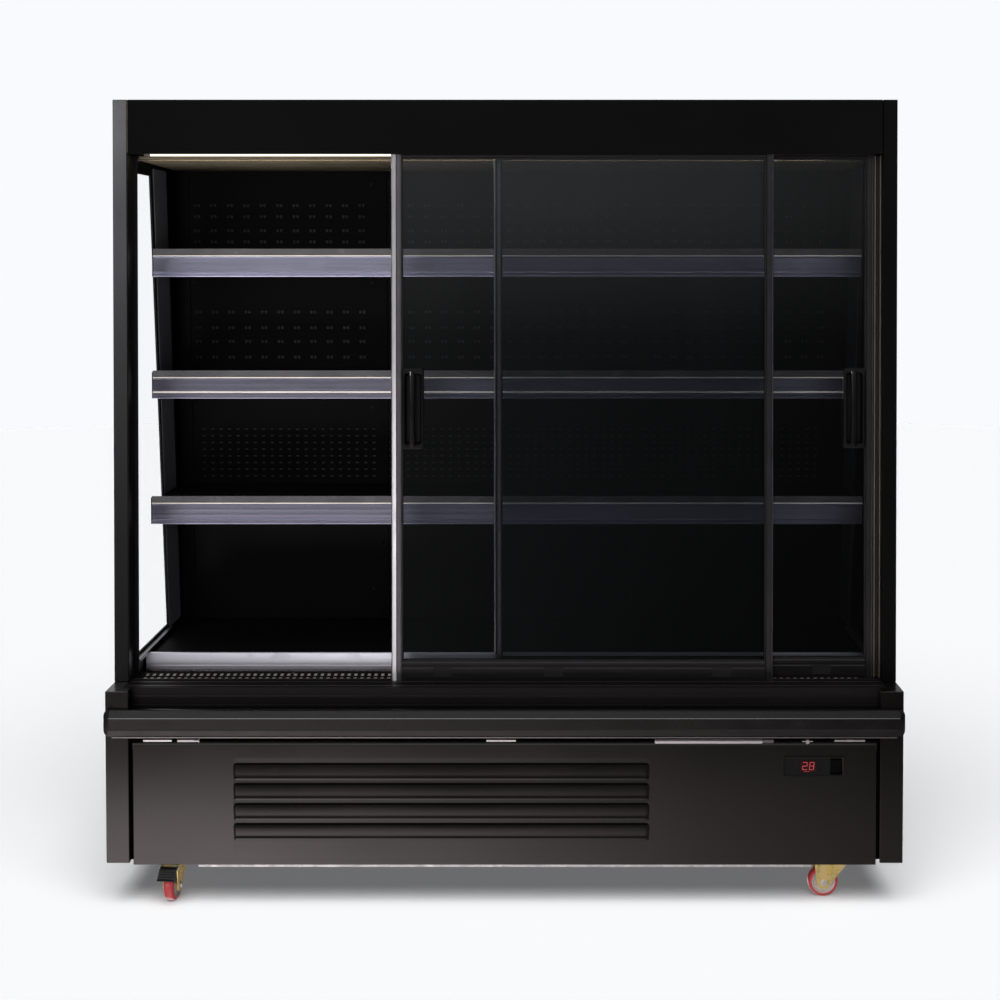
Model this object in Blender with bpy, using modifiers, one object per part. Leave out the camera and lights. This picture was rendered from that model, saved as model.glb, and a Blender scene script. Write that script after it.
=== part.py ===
"""Upright refrigerated multideck display case with two sliding glass doors, on swivel casters.

Metres, +Z up, front towards -Y.  The origin lies on the floor under the centre of the case.
"""

import math

import bmesh
import bpy
from mathutils import Matrix, Vector

# Driving dimensions
WIDTH = 1.980
DEPTH = 0.840
HEIGHT = 2.008
GAP = 0.0005
SHEET = 0.0015

BODY_BOTTOM = 0.105
BASE_TOP = 0.5355
BACK = DEPTH / 2
BUMPER_FRONT = -DEPTH / 2
BASE_FRONT = BUMPER_FRONT + 0.024
POST_FRONT = BASE_FRONT + 0.095
LEAN_RUN = 0.030
LEAN = math.atan2(LEAN_RUN, HEIGHT - BASE_TOP)

SIDE_THICKNESS = 0.035
COLUMN_WIDTH = 0.058
COLUMN_DEPTH = 0.0375
HALF_WIDTH = WIDTH / 2
INNER_HALF = HALF_WIDTH - SIDE_THICKNESS
CLEAR_HALF = INNER_HALF - GAP

WINDOW = [(-0.228, 0.584), (0.147, 0.584), (-0.024, 1.827), (-0.200, 1.827)]
PANE_THICKNESS = 0.020

BACK_THICKNESS = 0.060
CANOPY_UNDER = 1.8645
CANOPY_DROP = 0.0065
CANOPY_FRONT = -0.180
ROOF_FRONT = -0.2455

DUCT_FOOT = (0.333, 0.548)
DUCT_HEAD = (0.281, 1.8565)
DUCT_RUN = DUCT_FOOT[0] - DUCT_HEAD[0]
DUCT_RISE = DUCT_HEAD[1] - DUCT_FOOT[1]
DUCT_LEAN = math.atan2(DUCT_RUN, DUCT_RISE)
UPRIGHT_X = (-0.930, -0.367, 0.367, 0.930)
UPRIGHT_WIDTH = 0.030
UPRIGHT_DEPTH = 0.0055
SLOT_PITCH = 0.050

RAIL_HEIGHT = 0.057
RAIL_THICKNESS = 0.006
LIP_HEIGHT = 0.018
SHELF_HALF = 0.948
SHELVES = {"top": (-0.032, 1.615), "middle": (-0.045, 1.290), "lower": (-0.067, 0.9563)}

DECK_TOP = 0.5625
DECK_FRONT = -0.125
GRILLE_TOP = 0.516
GRILLE_REAR = -0.1330
SILL_REAR = -0.198
SILL_BOTTOM = 0.486

TUB_BOTTOM = 0.345
TUB_FLOOR = 0.385
TUB_FRONT = -0.3550
TUB_INNER_FRONT = -0.310

DOOR_WIDTH = 0.968
DOOR_THICKNESS = 0.020
DOOR_BOTTOM = 0.0015
DOOR_TOP = 1.3530
FRONT_DOOR_DEPTH = 0.0045
REAR_DOOR_DEPTH = 0.0365
FRONT_DOOR_LEFT = -0.2888
REAR_DOOR_LEFT = -0.0300
BOTTOM_RAIL = 0.050
TOP_RAIL = 0.0255
WIDE_STILE = 0.027
NARROW_STILE = 0.0195
DOOR_PANE = 0.014
HANDLE_SIZE = (0.056, 0.203)
HANDLE_BOTTOM = 0.590
RIB_WIDTH = 0.003
RIB_HEIGHT = 0.0035

PANEL_HALF = 0.9225
PANEL_BOTTOM = 0.1015
PANEL_TOP = 0.4080
PANEL_DEPTH = 0.020
LOUVRE_LEFT = -0.672
LOUVRE_RIGHT = 0.359
LOUVRE_TOP = 0.3565
LOUVRE_PITCH = 0.0502
LOUVRE_HEIGHT = 0.0425
LOUVRE_DEPTH = 0.009

BUMPER_BOTTOM = 0.4285
BUMPER_TOP = 0.4937
BUMPER_THICKNESS = 0.0235

CONTROL_LEFT = 0.693
CONTROL_RIGHT = 0.843
CONTROL_BOTTOM = 0.324
CONTROL_TOP = 0.374

CASTER_X = 0.831
CASTER_FRONT_Y = BASE_FRONT + 0.070
CASTER_REAR_Y = 0.330
CASTER_YAW = {"front_left": -6, "front_right": -88, "rear_left": 150, "rear_right": 205}
WHEEL_RADIUS = 0.0375
WHEEL_WIDTH = 0.026
TRAIL = 0.029
PLATE_TOP = 0.1060
PLATE_UNDER = 0.1020
AXLE_RADIUS = 0.004
RUNNING_PLAY = 0.00005
WHEEL_SIDES = 20

ROUND = 24


def start_clean():
    for old in list(bpy.data.objects):
        bpy.data.objects.remove(old, do_unlink=True)
    made = {}
    for label in ("display_case", "cutters"):
        made[label] = bpy.data.collections.new(label)
        bpy.context.scene.collection.children.link(made[label])
    return made


COLLECTIONS = start_clean()


def finish_material(name, colour, roughness, metallic=0.0, alpha=1.0, glow=0.0):
    material = bpy.data.materials.new(name)
    material.use_nodes = True
    shader = material.node_tree.nodes["Principled BSDF"]
    shader.inputs["Base Color"].default_value = (*colour, 1.0)
    shader.inputs["Roughness"].default_value = roughness
    shader.inputs["Metallic"].default_value = metallic
    shader.inputs["Alpha"].default_value = alpha
    if glow:
        shader.inputs["Emission Color"].default_value = (*colour, 1.0)
        shader.inputs["Emission Strength"].default_value = glow
    return material


BLACK_PAINT = ((0.012, 0.012, 0.013), 0.25, 0.0)
BLACK_SATIN = ((0.015, 0.015, 0.017), 0.45, 0.0)
BLACK_PLASTIC = ((0.010, 0.010, 0.011), 0.30, 0.0)
SILVER = ((0.55, 0.56, 0.60), 0.32, 0.9)
GALVANISED = ((0.60, 0.61, 0.62), 0.40, 0.9)
YELLOW_ZINC = ((0.80, 0.62, 0.25), 0.32, 0.9)
COPPER_FIN = ((0.62, 0.60, 0.56), 0.45, 0.9)
GLASS = ((0.55, 0.60, 0.62), 0.05, 0.0, 0.30)
MIRROR = ((0.05, 0.05, 0.055), 0.06, 0.8)
RED_URETHANE = ((0.55, 0.05, 0.06), 0.40, 0.0)
WHITE_LAMP = ((1.0, 0.93, 0.80), 0.40, 0.0, 1.0, 3.0)
RED_DISPLAY = ((0.30, 0.010, 0.010), 0.20, 0.0, 1.0, 0.6)


def place(obj, look=None):
    """Puts a part in the case's collection with its own material, or a cutter in the cutters'."""
    home = COLLECTIONS["display_case" if look else "cutters"]
    home.objects.link(obj)
    if look:
        obj.data.materials.clear()
        obj.data.materials.append(finish_material(obj.name, *look))
    else:
        obj.hide_render = True
        obj.display_type = "WIRE"
    return obj


def new_mesh_object(name, bm, look):
    mesh = bpy.data.meshes.new(name)
    bm.to_mesh(mesh)
    bm.free()
    return place(bpy.data.objects.new(name, mesh), look)


def box(name, low, high, look=None, parent=None):
    """A block between two corners, with its origin at its centre."""
    bm = bmesh.new()
    bmesh.ops.create_cube(bm, size=1.0)
    size = [b - a for a, b in zip(low, high)]
    bmesh.ops.scale(bm, vec=size, verts=bm.verts)
    obj = new_mesh_object(name, bm, look)
    obj.location = [(a + b) / 2 for a, b in zip(low, high)]
    obj.parent = parent
    return obj


def rod(name, start, end, radius, look=None, segments=ROUND, tip=None):
    """A cylinder from start to end, or a cone where tip gives the radius at the end."""
    bm = bmesh.new()
    run = Vector(end) - Vector(start)
    last = radius if tip is None else tip
    bmesh.ops.create_cone(bm, cap_ends=True, segments=segments, radius1=radius, radius2=last,
                          depth=run.length)
    obj = new_mesh_object(name, bm, look)
    obj.location = (Vector(start) + Vector(end)) / 2
    obj.rotation_mode = "QUATERNION"
    obj.rotation_quaternion = run.to_track_quat("Z", "Y")
    return obj


AXES = {
    "X": Matrix(((0, 0, 1), (1, 0, 0), (0, 1, 0))).to_4x4(),
    "Y": Matrix(((1, 0, 0), (0, 0, -1), (0, 1, 0))).to_4x4(),
    "Z": Matrix.Identity(4),
}


def prism(name, outlines, axis, start, end, look=None, parent=None):
    """A flat outline, with any further outlines as its holes, drawn out along an axis."""
    curve = bpy.data.curves.new(name, "CURVE")
    curve.dimensions = "2D"
    curve.fill_mode = "BOTH"
    curve.extrude = abs(end - start) / 2
    for outline in outlines:
        spline = curve.splines.new("POLY")
        spline.points.add(len(outline) - 1)
        spline.use_cyclic_u = True
        for point, (u, v) in zip(spline.points, outline):
            point.co = (u, v, 0, 1)
    drawn = bpy.data.objects.new(name + "_outline", curve)
    bpy.context.scene.collection.objects.link(drawn)
    offset = Vector([(start + end) / 2 if letter == axis else 0 for letter in "XYZ"])
    drawn.matrix_world = Matrix.Translation(offset) @ AXES[axis]
    bpy.context.view_layer.update()
    graph = bpy.context.evaluated_depsgraph_get()
    mesh = bpy.data.meshes.new_from_object(drawn.evaluated_get(graph))
    bm = bmesh.new()
    bm.from_mesh(mesh)
    bmesh.ops.remove_doubles(bm, verts=bm.verts, dist=0.00001)
    bmesh.ops.recalc_face_normals(bm, faces=bm.faces)
    bm.to_mesh(mesh)
    bm.free()
    mesh.name = name
    solid = bpy.data.objects.new(name, mesh)
    solid.matrix_world = drawn.matrix_world.copy()
    bpy.data.objects.remove(drawn, do_unlink=True)
    place(solid, look)
    solid.parent = parent
    return solid


def turned(name, profile, look=None, steps=ROUND):
    """A closed turned solid: the profile lists (radius, height) down the outside, top to bottom."""
    bm = bmesh.new()
    points = [bm.verts.new((radius, 0, height)) for radius, height in profile]
    for first, second in zip(points, points[1:]):
        bm.edges.new((first, second))
    obj = new_mesh_object(name, bm, look)
    screw = obj.modifiers.new("turn", "SCREW")
    screw.axis = "Z"
    screw.steps = steps
    screw.render_steps = steps
    screw.use_merge_vertices = True
    screw.merge_threshold = 0.00001
    return obj


def combine(obj, other, operation):
    step = obj.modifiers.new(operation.lower() + "_" + other.name, "BOOLEAN")
    step.operation = operation
    step.object = other
    step.solver = "EXACT"
    return obj


def cut(obj, *cutters):
    for cutter in cutters:
        combine(obj, cutter, "DIFFERENCE")
    return obj


def weld_on(obj, *pieces):
    for piece in pieces:
        combine(obj, piece, "UNION")
    return obj


def soften(obj, width, segments=1):
    edge = obj.modifiers.new("edges", "BEVEL")
    edge.width = width
    edge.segments = segments
    edge.limit_method = "ANGLE"
    edge.angle_limit = math.radians(40)
    return obj


def repeat(obj, count, step):
    array = obj.modifiers.new("repeat", "ARRAY")
    array.count = count
    array.use_relative_offset = False
    array.use_constant_offset = True
    array.constant_offset_displace = step
    array.use_merge_vertices = False
    return obj


def rectangle(u0, v0, u1, v1):
    return [(u0, v0), (u1, v0), (u1, v1), (u0, v1)]


def arc(centre, radius, start, end, count):
    """Points on an arc, with its angles in degrees."""
    angles = [math.radians(start + (end - start) * i / count) for i in range(count + 1)]
    return [(centre[0] + radius * math.cos(a), centre[1] + radius * math.sin(a)) for a in angles]


def inset(points, distance):
    """A counter-clockwise convex outline moved inwards, or outwards for a negative distance."""
    lines = []
    for a, b in zip(points, points[1:] + points[:1]):
        along = (Vector(b) - Vector(a)).normalized()
        inward = Vector((-along.y, along.x))
        lines.append((Vector(a) + inward * distance, along))
    corners = []
    for (p, d), (q, e) in zip(lines[-1:] + lines[:-1], lines):
        scale = (q - p).cross(e) / d.cross(e)
        corners.append(tuple(p + d * scale))
    return corners


def empty(name, location, rotation=(0, 0, 0)):
    frame = bpy.data.objects.new(name, None)
    frame.location = location
    frame.rotation_euler = rotation
    COLLECTIONS["display_case"].objects.link(frame)
    return frame


# The door plane leans back with the posts.  In it, y is depth behind the posts' front and z is height.
FRONT_PLANE = empty("front_plane", (0, POST_FRONT, BASE_TOP), (-LEAN, 0, 0))
# The inner back leans forward at the top.
BACK_PLANE = empty("back_plane", (0, DUCT_FOOT[0], DUCT_FOOT[1]), (DUCT_LEAN, 0, 0))


def duct_face(height):
    """Y of the inner back panel's front face at a height."""
    return DUCT_FOOT[0] - (height - DUCT_FOOT[1]) * DUCT_RUN / DUCT_RISE


# Base

def base_tray():
    wall = BODY_BOTTOM + 0.030
    front = BASE_FRONT + COLUMN_DEPTH + GAP
    rear = 0.390
    sheet = 0.002
    outline = [(front, BODY_BOTTOM), (rear, BODY_BOTTOM), (rear, wall), (rear - sheet, wall),
               (rear - sheet, BODY_BOTTOM + sheet), (front + sheet, BODY_BOTTOM + sheet),
               (front + sheet, wall), (front, wall)]
    tray = prism("base_tray", [outline], "X", -CLEAR_HALF, CLEAR_HALF, GALVANISED)
    rail_half = 0.766
    for label, y in (("front", BASE_FRONT + PANEL_DEPTH + GAP), ("rear", 0.300)):
        rail = box("rail_" + label, (-rail_half, y, 0.0885), (rail_half, y + 0.040, PLATE_TOP))
        weld_on(tray, rail)
    for side in (-1, 1):
        for y in (CASTER_FRONT_Y, CASTER_REAR_Y):
            x = side * CASTER_X
            low = (x - 0.052, y - 0.042, PLATE_UNDER)
            high = (x + 0.052, y + 0.042, PLATE_TOP)
            weld_on(tray, box("caster_plate", low, high))


def tub():
    outer = [(TUB_FRONT, TUB_BOTTOM), (BACK, TUB_BOTTOM), (BACK, BASE_TOP - GAP),
             (BACK - BACK_THICKNESS, BASE_TOP - GAP), (BACK - BACK_THICKNESS, TUB_FLOOR),
             (TUB_INNER_FRONT, TUB_FLOOR), (TUB_INNER_FRONT, BASE_TOP - 0.0025),
             (TUB_FRONT, BASE_TOP - 0.0025)]
    inner = [(TUB_FRONT + SHEET, TUB_BOTTOM + SHEET), (BACK - SHEET, TUB_BOTTOM + SHEET),
             (BACK - SHEET, BASE_TOP - GAP - SHEET),
             (BACK - BACK_THICKNESS + SHEET, BASE_TOP - GAP - SHEET),
             (BACK - BACK_THICKNESS + SHEET, TUB_FLOOR - SHEET),
             (TUB_INNER_FRONT - SHEET, TUB_FLOOR - SHEET),
             (TUB_INNER_FRONT - SHEET, BASE_TOP - 0.0025 - SHEET),
             (TUB_FRONT + SHEET, BASE_TOP - 0.0025 - SHEET)]
    prism("tub", [outer, inner], "X", -CLEAR_HALF, CLEAR_HALF, BLACK_SATIN)


def end_panel(label, side):
    """A sheet-metal shell with a wider column at the front, filled with foam on the real case."""
    low, high = sorted((side * HALF_WIDTH, side * (HALF_WIDTH - COLUMN_WIDTH)))
    shell = box("end_panel_" + label, (low, BASE_FRONT, BODY_BOTTOM), (high, BACK, BASE_TOP),
                BLACK_PAINT)
    soften(shell, 0.002, 2)
    low, high = sorted((side * INNER_HALF, side * (HALF_WIDTH - COLUMN_WIDTH - 0.01)))
    cut(shell, box("column_step_" + label, (low, BASE_FRONT + COLUMN_DEPTH, BODY_BOTTOM - 0.01),
                   (high, BACK + 0.01, BASE_TOP + 0.01)))
    low, high = sorted((side * (INNER_HALF + SHEET), side * (HALF_WIDTH - SHEET)))
    cut(shell, box("end_core_" + label, (low, BASE_FRONT + SHEET, BODY_BOTTOM - 0.01),
                   (high, BACK - SHEET, BASE_TOP - SHEET)))


def side_frame(label, side):
    low, high = sorted((side * INNER_HALF, side * HALF_WIDTH))
    foot = BASE_TOP + GAP
    outer = [(POST_FRONT, foot), (BACK, foot), (BACK, HEIGHT), (POST_FRONT + LEAN_RUN, HEIGHT)]
    frame = prism("side_frame_" + label, [outer], "X", low, high, BLACK_PAINT)
    soften(frame, 0.0015)
    cut(frame, prism("side_window_" + label, [WINDOW], "X", low - 0.01, high + 0.01))
    hollow = inset(outer, SHEET)
    hollow[0] = (hollow[0][0], foot - 0.01)
    hollow[1] = (hollow[1][0], foot - 0.01)
    core = prism("side_core_" + label, [hollow, inset(WINDOW, -SHEET)], "X", low + SHEET,
                 high - SHEET)
    cut(frame, core)
    pane_outer = side * (HALF_WIDTH - 0.0075)
    pane_inner = pane_outer - side * PANE_THICKNESS
    look = GLASS if label == "left" else MIRROR
    prism("side_glass_" + label, [inset(WINDOW, GAP)], "X", *sorted((pane_outer, pane_inner)),
          look)


def back_panel():
    low = BASE_TOP + GAP
    high = CANOPY_UNDER - CANOPY_DROP - 0.002
    outer = rectangle(BACK - BACK_THICKNESS, low, BACK, high)
    prism("back_panel", [outer, inset(outer, SHEET)], "X", -CLEAR_HALF, CLEAR_HALF, BLACK_SATIN)


def canopy():
    """The roof box that carries the cold air forward, open inside."""
    under_rear = CANOPY_UNDER - CANOPY_DROP
    outer = [(CANOPY_FRONT, CANOPY_UNDER), (BACK, under_rear), (BACK, HEIGHT),
             (ROOF_FRONT, HEIGHT), (ROOF_FRONT, 1.920), (CANOPY_FRONT, 1.900)]
    prism("canopy", [outer, inset(outer, SHEET)], "X", -CLEAR_HALF, CLEAR_HALF, BLACK_SATIN)


def fascia():
    low = (1.8708 - BASE_TOP) / math.cos(LEAN)
    high = (HEIGHT - BASE_TOP) / math.cos(LEAN)
    front = 0.0005
    rear = 0.024
    sheet = 0.0018
    outline = [(front, low), (front + sheet, low), (front + sheet, high - sheet),
               (rear, high - sheet), (rear, high), (front, high)]
    prism("fascia", [outline], "X", -0.9525, 0.9525, BLACK_PAINT, FRONT_PLANE)


def head_track():
    bottom = 1.3440
    groove = 1.3560
    top = 1.3620
    play = 0.0010
    front_rear = FRONT_DOOR_DEPTH + DOOR_THICKNESS + play
    rear_front = REAR_DOOR_DEPTH - play
    rear_rear = REAR_DOOR_DEPTH + DOOR_THICKNESS + play
    wall = FRONT_DOOR_DEPTH - 0.0008
    outline = [(wall - 0.001, bottom), (wall, bottom), (wall, groove), (front_rear, groove),
               (front_rear, bottom), (rear_front, bottom), (rear_front, groove),
               (rear_rear, groove), (rear_rear, bottom), (rear_rear + 0.003, bottom),
               (rear_rear + 0.003, top), (wall - 0.001, top)]
    prism("head_track", [outline], "X", -0.9525, 0.9525, BLACK_SATIN, FRONT_PLANE)


def canopy_lamp():
    lamp = box("canopy_lamp", (-0.915, -0.206, 1.867), (0.915, -0.184, 1.886), WHITE_LAMP)
    soften(lamp, 0.003, 2)


# Interior

def duct_panel():
    length = math.hypot(DUCT_RUN, DUCT_RISE)
    half = CLEAR_HALF - 0.001
    box("duct_panel", (-half, 0, 0), (half, 0.002, length), BLACK_SATIN, BACK_PLANE)


def upright(number, x):
    """A channel with one column of slots, in which the shelf brackets hook."""
    half = UPRIGHT_WIDTH / 2
    wall = 0.002
    front = -UPRIGHT_DEPTH
    rear = -GAP
    outline = [(x - half, front), (x + half, front), (x + half, rear), (x + half - wall, rear),
               (x + half - wall, front + wall), (x - half + wall, front + wall),
               (x - half + wall, rear), (x - half, rear)]
    length = 1.290
    channel = prism(f"upright_{number}", [outline], "Z", 0.010, 0.010 + length, BLACK_SATIN,
                    BACK_PLANE)
    slot_high = 0.016
    slot = box(f"upright_slot_{number}", (x - 0.003, front - 0.002, 0.030),
               (x + 0.003, front + wall + 0.002, 0.030 + slot_high), parent=BACK_PLANE)
    repeat(slot, int((length - 0.040) / SLOT_PITCH), (0, 0, SLOT_PITCH))
    cut(channel, slot)


def shelf(label, front, top):
    """A folded steel shelf with its four brackets welded under it."""
    rear = duct_face(top) - UPRIGHT_DEPTH - 0.004
    sheet = 0.002
    front_fold = 0.045
    rear_fold = 0.028
    outline = [(front, top), (front, top - front_fold), (front + sheet, top - front_fold),
               (front + sheet, top - sheet), (rear - sheet, top - sheet),
               (rear - sheet, top - rear_fold), (rear, top - rear_fold), (rear, top)]
    deck = prism("shelf_" + label, [outline], "X", -SHELF_HALF, SHELF_HALF, BLACK_SATIN)
    drop = 0.062
    post = UPRIGHT_DEPTH + 2 * GAP
    side = [(front + 0.060, top - 0.001), (front + 0.060, top - 0.022), (rear - 0.030, top - drop),
            (duct_face(top - drop) - post, top - drop), (duct_face(top) - post, top - 0.001)]
    for number, x in enumerate(UPRIGHT_X):
        bracket = prism(f"bracket_{label}_{number}", [side], "X", x - 0.0015, x + 0.0015)
        weld_on(deck, bracket)


def price_rail(label, front, top):
    rear = front - GAP
    face = rear - RAIL_THICKNESS
    bottom = top - RAIL_HEIGHT
    outline = [(rear, bottom), (rear, top), (face + 0.003, top), (face + 0.003, top + LIP_HEIGHT),
               (face + 0.001, top + LIP_HEIGHT), (face, top), (face, bottom)]
    prism("price_rail_" + label, [outline], "X", -SHELF_HALF - 0.001, SHELF_HALF + 0.001, SILVER)


def deck():
    rear = duct_face(DECK_TOP) - UPRIGHT_DEPTH - 0.004
    sheet = 0.002
    outline = [(DECK_FRONT, DECK_TOP), (DECK_FRONT, 0.520), (DECK_FRONT + sheet, 0.520),
               (DECK_FRONT + sheet, DECK_TOP - sheet), (rear - sheet, DECK_TOP - sheet),
               (rear - sheet, DECK_TOP - 0.020), (rear, DECK_TOP - 0.020), (rear, DECK_TOP)]
    prism("deck_pan", [outline], "X", -0.950, 0.950, BLACK_SATIN)
    trim = box("deck_trim", (-0.950, DECK_FRONT - 0.0065, 0.520),
               (0.950, DECK_FRONT - GAP, 0.5700), SILVER)
    soften(trim, 0.0015, 2)


def air_return_grille():
    half = 0.945
    front = SILL_REAR + GAP
    rear = GRILLE_REAR
    bottom = GRILLE_TOP - 0.004
    grille = box("air_return_grille", (-half, front, bottom), (half, rear, GRILLE_TOP), BLACK_SATIN)
    pitch = 0.020
    count = 93
    first = -pitch * (count - 1) / 2
    slant = 0.010
    width = 0.0095
    low = front + 0.006
    high = rear - 0.006
    outline = [(first - slant / 2 - width / 2, low), (first - slant / 2 + width / 2, low),
               (first + slant / 2 + width / 2, high), (first + slant / 2 - width / 2, high)]
    slot = prism("grille_slot", [outline], "Z", bottom - 0.003, GRILLE_TOP + 0.003)
    repeat(slot, count, (pitch, 0, 0))
    cut(grille, slot)


def door_sill():
    """The sill, with one rib under each door and a drip ridge in front of them."""
    face = BASE_FRONT + COLUMN_DEPTH + GAP
    sheet = 0.002
    top = BASE_TOP
    outline = [(face, SILL_BOTTOM), (face + sheet, SILL_BOTTOM), (face + sheet, top - sheet),
               (SILL_REAR - sheet, top - sheet), (SILL_REAR - sheet, 0.504), (SILL_REAR, 0.504),
               (SILL_REAR, top)]
    for depth in (REAR_DOOR_DEPTH, FRONT_DOOR_DEPTH):
        middle = POST_FRONT + depth + DOOR_THICKNESS / 2
        rib = RIB_WIDTH / 2
        outline += [(middle + rib, top), (middle + rib, top + RIB_HEIGHT),
                    (middle - rib, top + RIB_HEIGHT), (middle - rib, top)]
    ridge = -0.318
    outline += [(ridge, top), (ridge, top + 0.0015), (ridge - 0.004, top + 0.0015),
                (ridge - 0.004, top), (face, top)]
    prism("door_sill", [outline], "X", -CLEAR_HALF, CLEAR_HALF, BLACK_PAINT)


# Doors

def door(label, left, depth, stiles):
    """An aluminium frame, its glazing and a recessed pull beside one stile."""
    right = left + DOOR_WIDTH
    rear = depth + DOOR_THICKNESS
    pane_left = left + stiles[0]
    pane_right = right - stiles[1]
    pane_low = DOOR_BOTTOM + BOTTOM_RAIL
    pane_high = DOOR_TOP - TOP_RAIL
    frame = box(f"door_{label}_frame", (left, depth, DOOR_BOTTOM), (right, rear, DOOR_TOP), SILVER,
                FRONT_PLANE)
    soften(frame, 0.0015, 2)
    cut(frame, box(f"door_opening_{label}", (pane_left, depth - 0.01, pane_low),
                   (pane_right, rear + 0.01, pane_high), parent=FRONT_PLANE))
    middle = depth + DOOR_THICKNESS / 2
    groove = box(f"rib_groove_{label}",
                 (left - 0.01, middle - 0.0028, DOOR_BOTTOM - 0.002),
                 (right + 0.01, middle + 0.0028, DOOR_BOTTOM + 0.006), parent=FRONT_PLANE)
    cut(frame, groove)

    width, height = HANDLE_SIZE
    high = HANDLE_BOTTOM + height
    play = GAP
    if label == "front":
        grip_edge, inner_edge = pane_left, pane_left + width
        pane = [(grip_edge + play, pane_low + play), (pane_right - play, pane_low + play),
                (pane_right - play, pane_high - play), (grip_edge + play, pane_high - play),
                (grip_edge + play, high + play), (inner_edge + play, high + play),
                (inner_edge + play, HANDLE_BOTTOM - play), (grip_edge + play, HANDLE_BOTTOM - play)]
        handle_left = grip_edge + play
    else:
        grip_edge, inner_edge = pane_right, pane_right - width
        pane = [(pane_left + play, pane_low + play), (grip_edge - play, pane_low + play),
                (grip_edge - play, HANDLE_BOTTOM - play), (inner_edge - play, HANDLE_BOTTOM - play),
                (inner_edge - play, high + play), (grip_edge - play, high + play),
                (grip_edge - play, pane_high - play), (pane_left + play, pane_high - play)]
        handle_left = inner_edge
    pane_front = depth + 0.003
    prism(f"door_{label}_glass", [pane], "Y", pane_front, pane_front + DOOR_PANE, GLASS,
          FRONT_PLANE)
    recessed_pull(label, handle_left, depth)


def recessed_pull(label, left, depth):
    """A flush pull: a cup let into the glazing, with an upright bowed grip across its mouth."""
    width, height = HANDLE_SIZE
    right = left + width - GAP
    low = HANDLE_BOTTOM
    high = low + height
    front = depth - 0.0025
    rear = depth + 0.003 + DOOR_PANE
    pull = box(f"door_{label}_handle", (left, front, low), (right, rear, high), BLACK_PLASTIC,
               FRONT_PLANE)
    soften(pull, 0.002, 2)
    rim = 0.006
    cup = box(f"pull_cup_{label}", (left + rim, front - 0.01, low + rim),
              (right - rim, rear - 0.003, high - rim), parent=FRONT_PLANE)
    cut(pull, cup)
    grip_left = left + 0.017
    grip = []
    swell = 0.0035
    steps = 10
    for i in range(steps + 1):
        share = i / steps
        bow = swell * math.sin(math.pi * share)
        grip.append((front + 0.001 - bow, low + 0.003 + (height - 0.006) * share))
    grip += [(y + 0.0075, z) for y, z in reversed(grip)]
    bar = prism(f"pull_grip_{label}", [grip], "X", grip_left, grip_left + 0.017,
                parent=FRONT_PLANE)
    weld_on(pull, bar)


# Front of the base

def front_panel():
    front = BASE_FRONT
    rear = front + PANEL_DEPTH
    outline = [(front, PANEL_BOTTOM), (rear, PANEL_BOTTOM), (rear, PANEL_BOTTOM + SHEET),
               (front + SHEET, PANEL_BOTTOM + SHEET), (front + SHEET, PANEL_TOP - SHEET),
               (rear, PANEL_TOP - SHEET), (rear, PANEL_TOP), (front, PANEL_TOP)]
    panel = prism("front_panel", [outline], "X", -PANEL_HALF, PANEL_HALF, BLACK_PAINT)
    for number in range(4):
        top = LOUVRE_TOP - number * LOUVRE_PITCH
        bottom = top - LOUVRE_HEIGHT
        slope = LOUVRE_DEPTH / LOUVRE_HEIGHT
        hood = [(front + SHEET * 0.8, top), (front, top), (front - LOUVRE_DEPTH, bottom),
                (front + SHEET * 0.8, bottom)]
        shell = prism(f"louvre_hood_{number}", [hood], "X", LOUVRE_LEFT, LOUVRE_RIGHT)
        wall = 0.0015
        mouth_top = top - 0.014
        at_mouth = front - (top - mouth_top) * slope + wall
        throat = [(front + SHEET + 0.002, mouth_top), (at_mouth, mouth_top),
                  (front - LOUVRE_DEPTH + wall - 0.003 * slope, bottom - 0.003),
                  (front + SHEET * 0.4, bottom - 0.003), (front + SHEET * 0.4, bottom + 0.002),
                  (front + SHEET + 0.002, bottom + 0.002)]
        void = prism(f"louvre_throat_{number}", [throat], "X", LOUVRE_LEFT + wall,
                     LOUVRE_RIGHT - wall)
        weld_on(panel, shell)
        cut(panel, void)
    window = box("controller_window", (CONTROL_LEFT + 0.004, front - 0.01, CONTROL_BOTTOM + 0.004),
                 (CONTROL_RIGHT - 0.004, rear + 0.01, CONTROL_TOP - 0.004))
    cut(panel, window)


def bumper():
    strip = box("bumper", (-HALF_WIDTH, BUMPER_FRONT, BUMPER_BOTTOM),
                (HALF_WIDTH, BUMPER_FRONT + BUMPER_THICKNESS, BUMPER_TOP), BLACK_PLASTIC)
    soften(strip, 0.0105, 4)


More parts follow.
